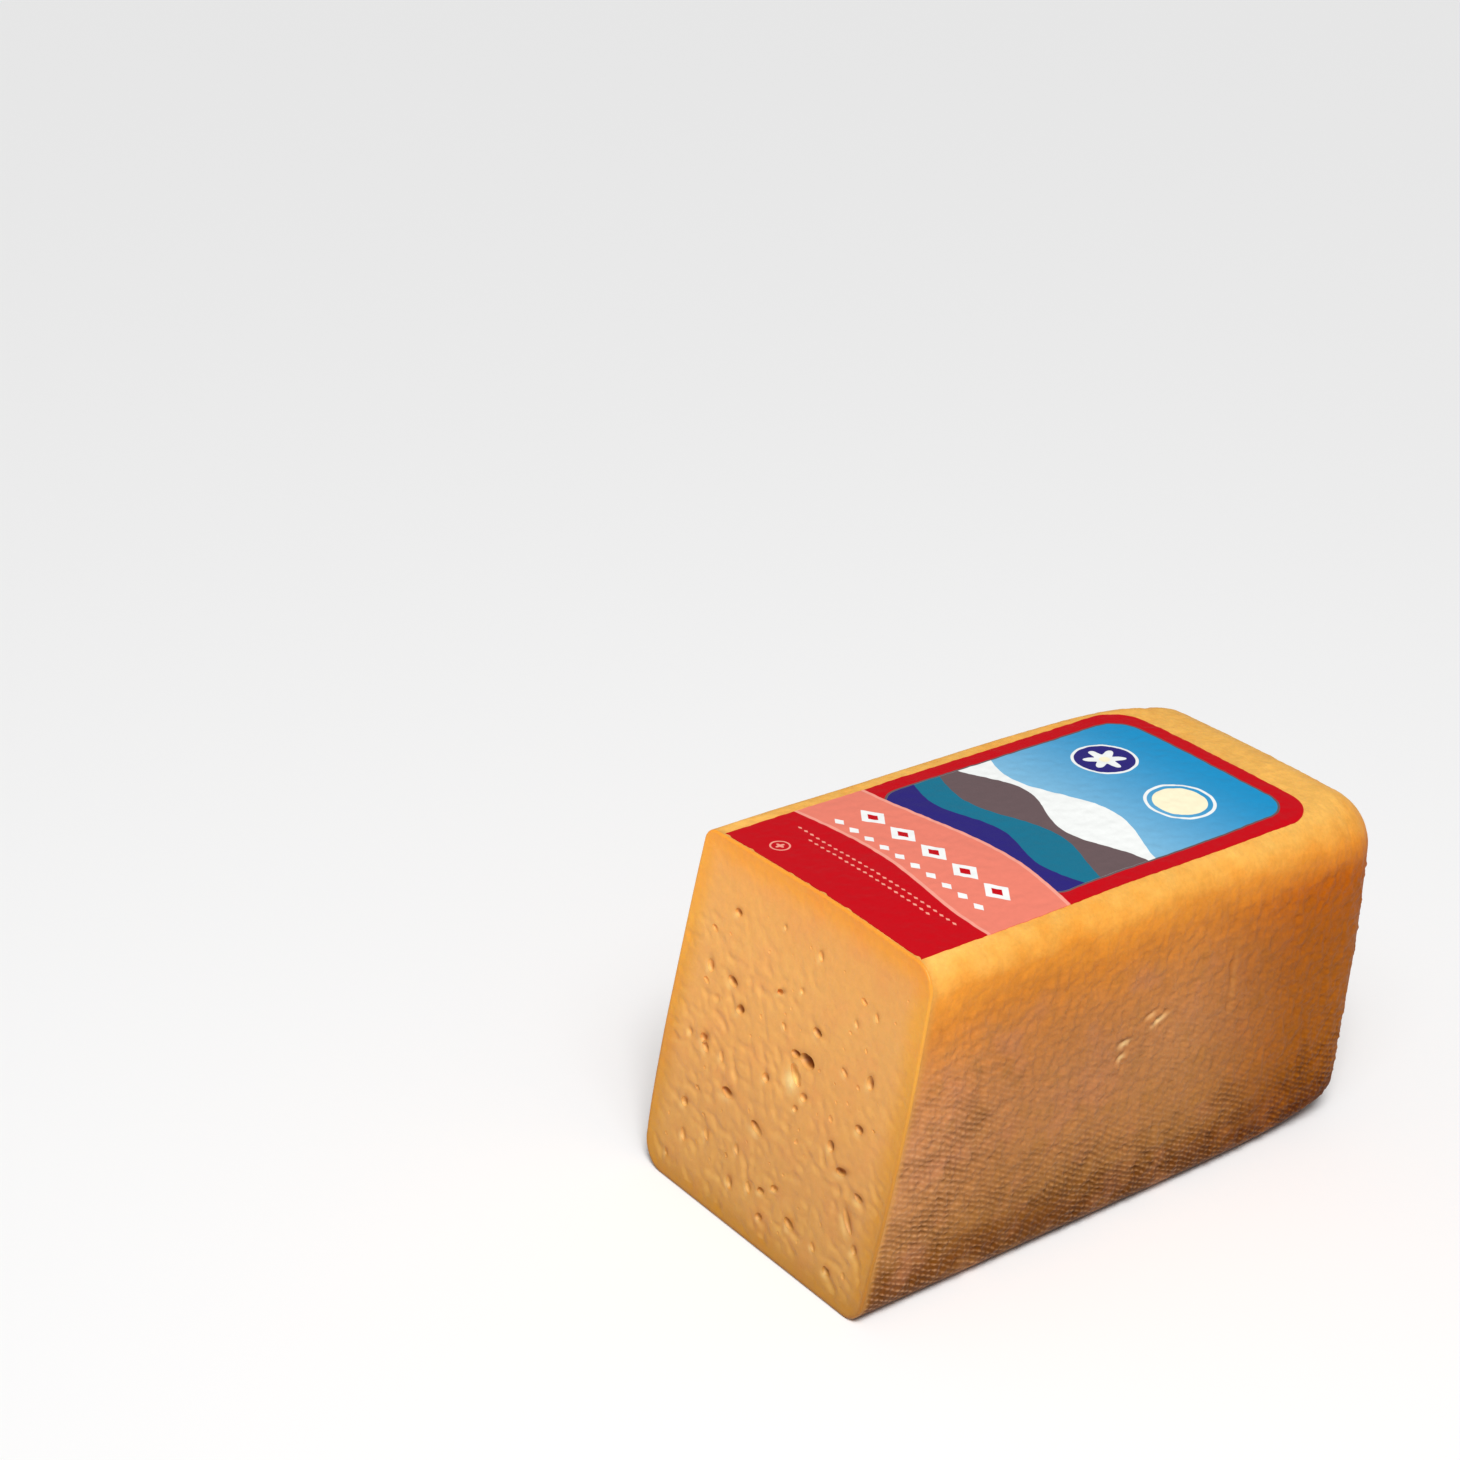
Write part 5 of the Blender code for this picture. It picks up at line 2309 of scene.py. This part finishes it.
MEDIUM_EYES = (
    Eye((-0.0094, 0.0918), (0.0008, 0.0010, 0.0007), 20),
    Eye((0.0063, 0.0905), (0.0011, 0.0018, 0.0010), 15),
    Eye((-0.0360, 0.0684), (0.0014, 0.0022, 0.0013), 15),
    Eye((-0.0060, 0.0739), (0.0009, 0.0024, 0.0008), 116),
    Eye((0.0019, 0.0780), (0.0009, 0.0010, 0.0008), 30),
    Eye((-0.0021, 0.0654), (0.0008, 0.0014, 0.0007), 40),
    Eye((0.0314, 0.0842), (0.0008, 0.0015, 0.0007), 20),
    Eye((0.0242, 0.0643), (0.0009, 0.0017, 0.0008), 60),
    Eye((-0.0316, 0.0448), (0.0013, 0.0020, 0.0012), 50),
    Eye((-0.0246, 0.0455), (0.0011, 0.0020, 0.0010), 20),
    Eye((-0.0357, 0.0254), (0.0016, 0.0016, 0.0014), 0),
    Eye((-0.0188, 0.0365), (0.0015, 0.0032, 0.0014), 88),
    Eye((-0.0045, 0.0327), (0.0014, 0.0034, 0.0013), 74),
    Eye((-0.0337, 0.0161), (0.0012, 0.0022, 0.0011), 20),
    Eye((-0.0245, 0.0209), (0.0012, 0.0022, 0.0011), 20),
    Eye((-0.0052, 0.0482), (0.0015, 0.0016, 0.0014), 20),
    Eye((0.0108, 0.0501), (0.0015, 0.0014, 0.0013), 0),
    Eye((0.0084, 0.0455), (0.0012, 0.0012, 0.0011), 0),
    Eye((-0.0033, 0.0151), (0.0011, 0.0020, 0.0010), 30),
    Eye((0.0022, 0.0167), (0.0010, 0.0018, 0.0009), 100),
    Eye((0.0072, 0.0201), (0.0011, 0.0020, 0.0010), 110),
    Eye((-0.0396, 0.0073), (0.0010, 0.0015, 0.0009), 20),
    Eye((-0.0108, 0.0231), (0.0010, 0.0018, 0.0009), 20),
    Eye((0.0247, 0.0790), (0.0008, 0.0014, 0.0007), 40),
    Eye((0.0261, 0.0123), (0.0009, 0.0016, 0.0008), 40),
    Eye((-0.0392, 0.0460), (0.0009, 0.0014, 0.0008), 30),
)


@dataclass
class CutLoaf:
    """The whole object: the rind's panels, the paste and the label."""

    form: LoafForm
    cut: KnifeCut
    fine_rows: int = 330
    plain_rows: int = 230
    columns_across: int = 195
    columns_up: int = 281
    broad_press: Patches = Patches(0.022, -0.40, 0.65, least=0.55)
    close_press: Patches = Patches(0.007, -0.35, 0.60, least=0.80, most=1.10)
    press_foot: Rise = (0.010, 0.042)
    press_near: Rise = (0.008, 0.052)
    press_near_top: Rise = (0.048, 0.036)
    press_between: Rise = (0.050, 0.030)
    between_share: float = 0.20
    base_press: float = 0.5
    base_press_spread: float = 0.35
    base_press_spacing: float = 0.03

    def side_pressure(self, points: np.ndarray) -> np.ndarray:
        """Finds how hard the cloth was pressed into the long sides and the far end.

        Args:
            points: Places on the side.

        Returns:
            The pressure from 0 to 1: most at the foot and by the cut, none at the shoulder.
        """
        height = points[:, 2]
        from_cut = self.cut.depth(points)
        by_foot = 1 - rising(height, *self.press_foot)
        by_cut = (1 - rising(from_cut, *self.press_near)) * (1 - rising(height, *self.press_near_top))
        between = self.between_share * (1 - rising(height, *self.press_between))
        most = np.maximum(np.maximum(by_foot, by_cut), between)
        return np.clip(most * self.broad_press.at(points) * self.close_press.at(points + 1), 0, 1)

    def base_pressure(self, points: np.ndarray) -> np.ndarray:
        """Finds how hard the cloth was pressed into the underside."""
        return self.base_press + self.base_press_spread * noise_at(points, self.base_press_spacing)

    def top_pressure(self, points: np.ndarray) -> np.ndarray:
        """Finds how hard the cloth was pressed into the top, which was hardly at all."""
        return np.zeros(len(points))

    def panels(self) -> list[RindPanel]:
        """Lists the rind's panels.

        Returns:
            A panel for each side of the loaf but the cut one.
        """
        start = self.cut.foot[1]
        scars = (
            Mark(start + 0.0905, 0.0592, 0.0026, 0.0010, 12, 0.0008, 1.0),
            Mark(start + 0.0893, 0.0548, 0.0017, 0.0009, 40, 0.0007, 0.9),
            Mark(start + 0.1034, 0.0622, 0.0034, 0.0009, 22, 0.0008, 1.0),
            Mark(start + 0.1000, 0.0648, 0.0022, 0.0008, 24, 0.0007, 0.5),
            Mark(start + 0.1322, 0.0660, 0.0150, 0.0010, 88, 0.0005, 0.12),
        )
        sizes = {
            Side.RIGHT: (self.fine_rows, self.columns_up, self.side_pressure, scars),
            Side.LEFT: (self.fine_rows, self.columns_up, self.side_pressure, ()),
            Side.TOP: (self.plain_rows, self.columns_across, self.top_pressure, ()),
            Side.BASE: (self.plain_rows, self.columns_across, self.base_pressure, ()),
            Side.END: (self.columns_across, self.columns_up, self.side_pressure, ()),
        }
        return [RindPanel(side, self.form, self.cut, *given) for side, given in sizes.items()]

    def build(self, label_box: tuple[Vector, Vector]) -> None:
        """Builds every piece and hands it over.

        Args:
            label_box: The lowest and highest corner of the label's solid.
        """
        rind = RindFinish(
            "rind", roughness=0.55, mirror=0.16, depth_share=0.08, sheen_tint=AMBER
        ).material()
        imprint = ClothImprint()
        tree = imprint.tree()
        made = {panel.side: panel.build(imprint, tree, rind) for panel in self.panels()}
        paste_finish = PasteFinish(
            "paste", roughness=0.48, mirror=0.30, depth_share=0.15, depth_scale=0.003
        )
        rise = self.form.height / self.cut.rise[2]
        eyes = EyeScatter(self.form.width / 2, rise, LARGE_EYES, MEDIUM_EYES)
        paste = Paste(self.form, self.cut, eyes, self.columns_across, self.columns_up)
        for piece in (*made.values(), paste.build(paste_finish.material())):
            hand_over(piece, "cheese_block")
        start = self.cut.foot[1] + self.cut.lean
        middle = sum(corner.x for corner in label_box) / 2
        paper = PrintFinish(
            "print", roughness=0.42, mirror=0.08, ground=RED, origin=(middle, start), shapes=PRINT
        )
        sheet = Label(*label_box, self.cut).build(made[Side.TOP], paper.material())
        hand_over(sheet, "label")


def main() -> None:
    """Builds the cheese and the studio."""
    block_low, block_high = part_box("cheese_block")
    label_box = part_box("label")
    middle = (label_box[0].x + label_box[1].x) / 2
    cut_foot = (middle, block_low.y, 0.0)
    form = LoafForm(foot=(-middle, -block_low.y, 0.0))
    CutLoaf(form, KnifeCut(foot=cut_foot)).build(label_box)
    Studio(centre=LOOKED_AT).build()
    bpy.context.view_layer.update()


if __name__ == "__main__":
    main()
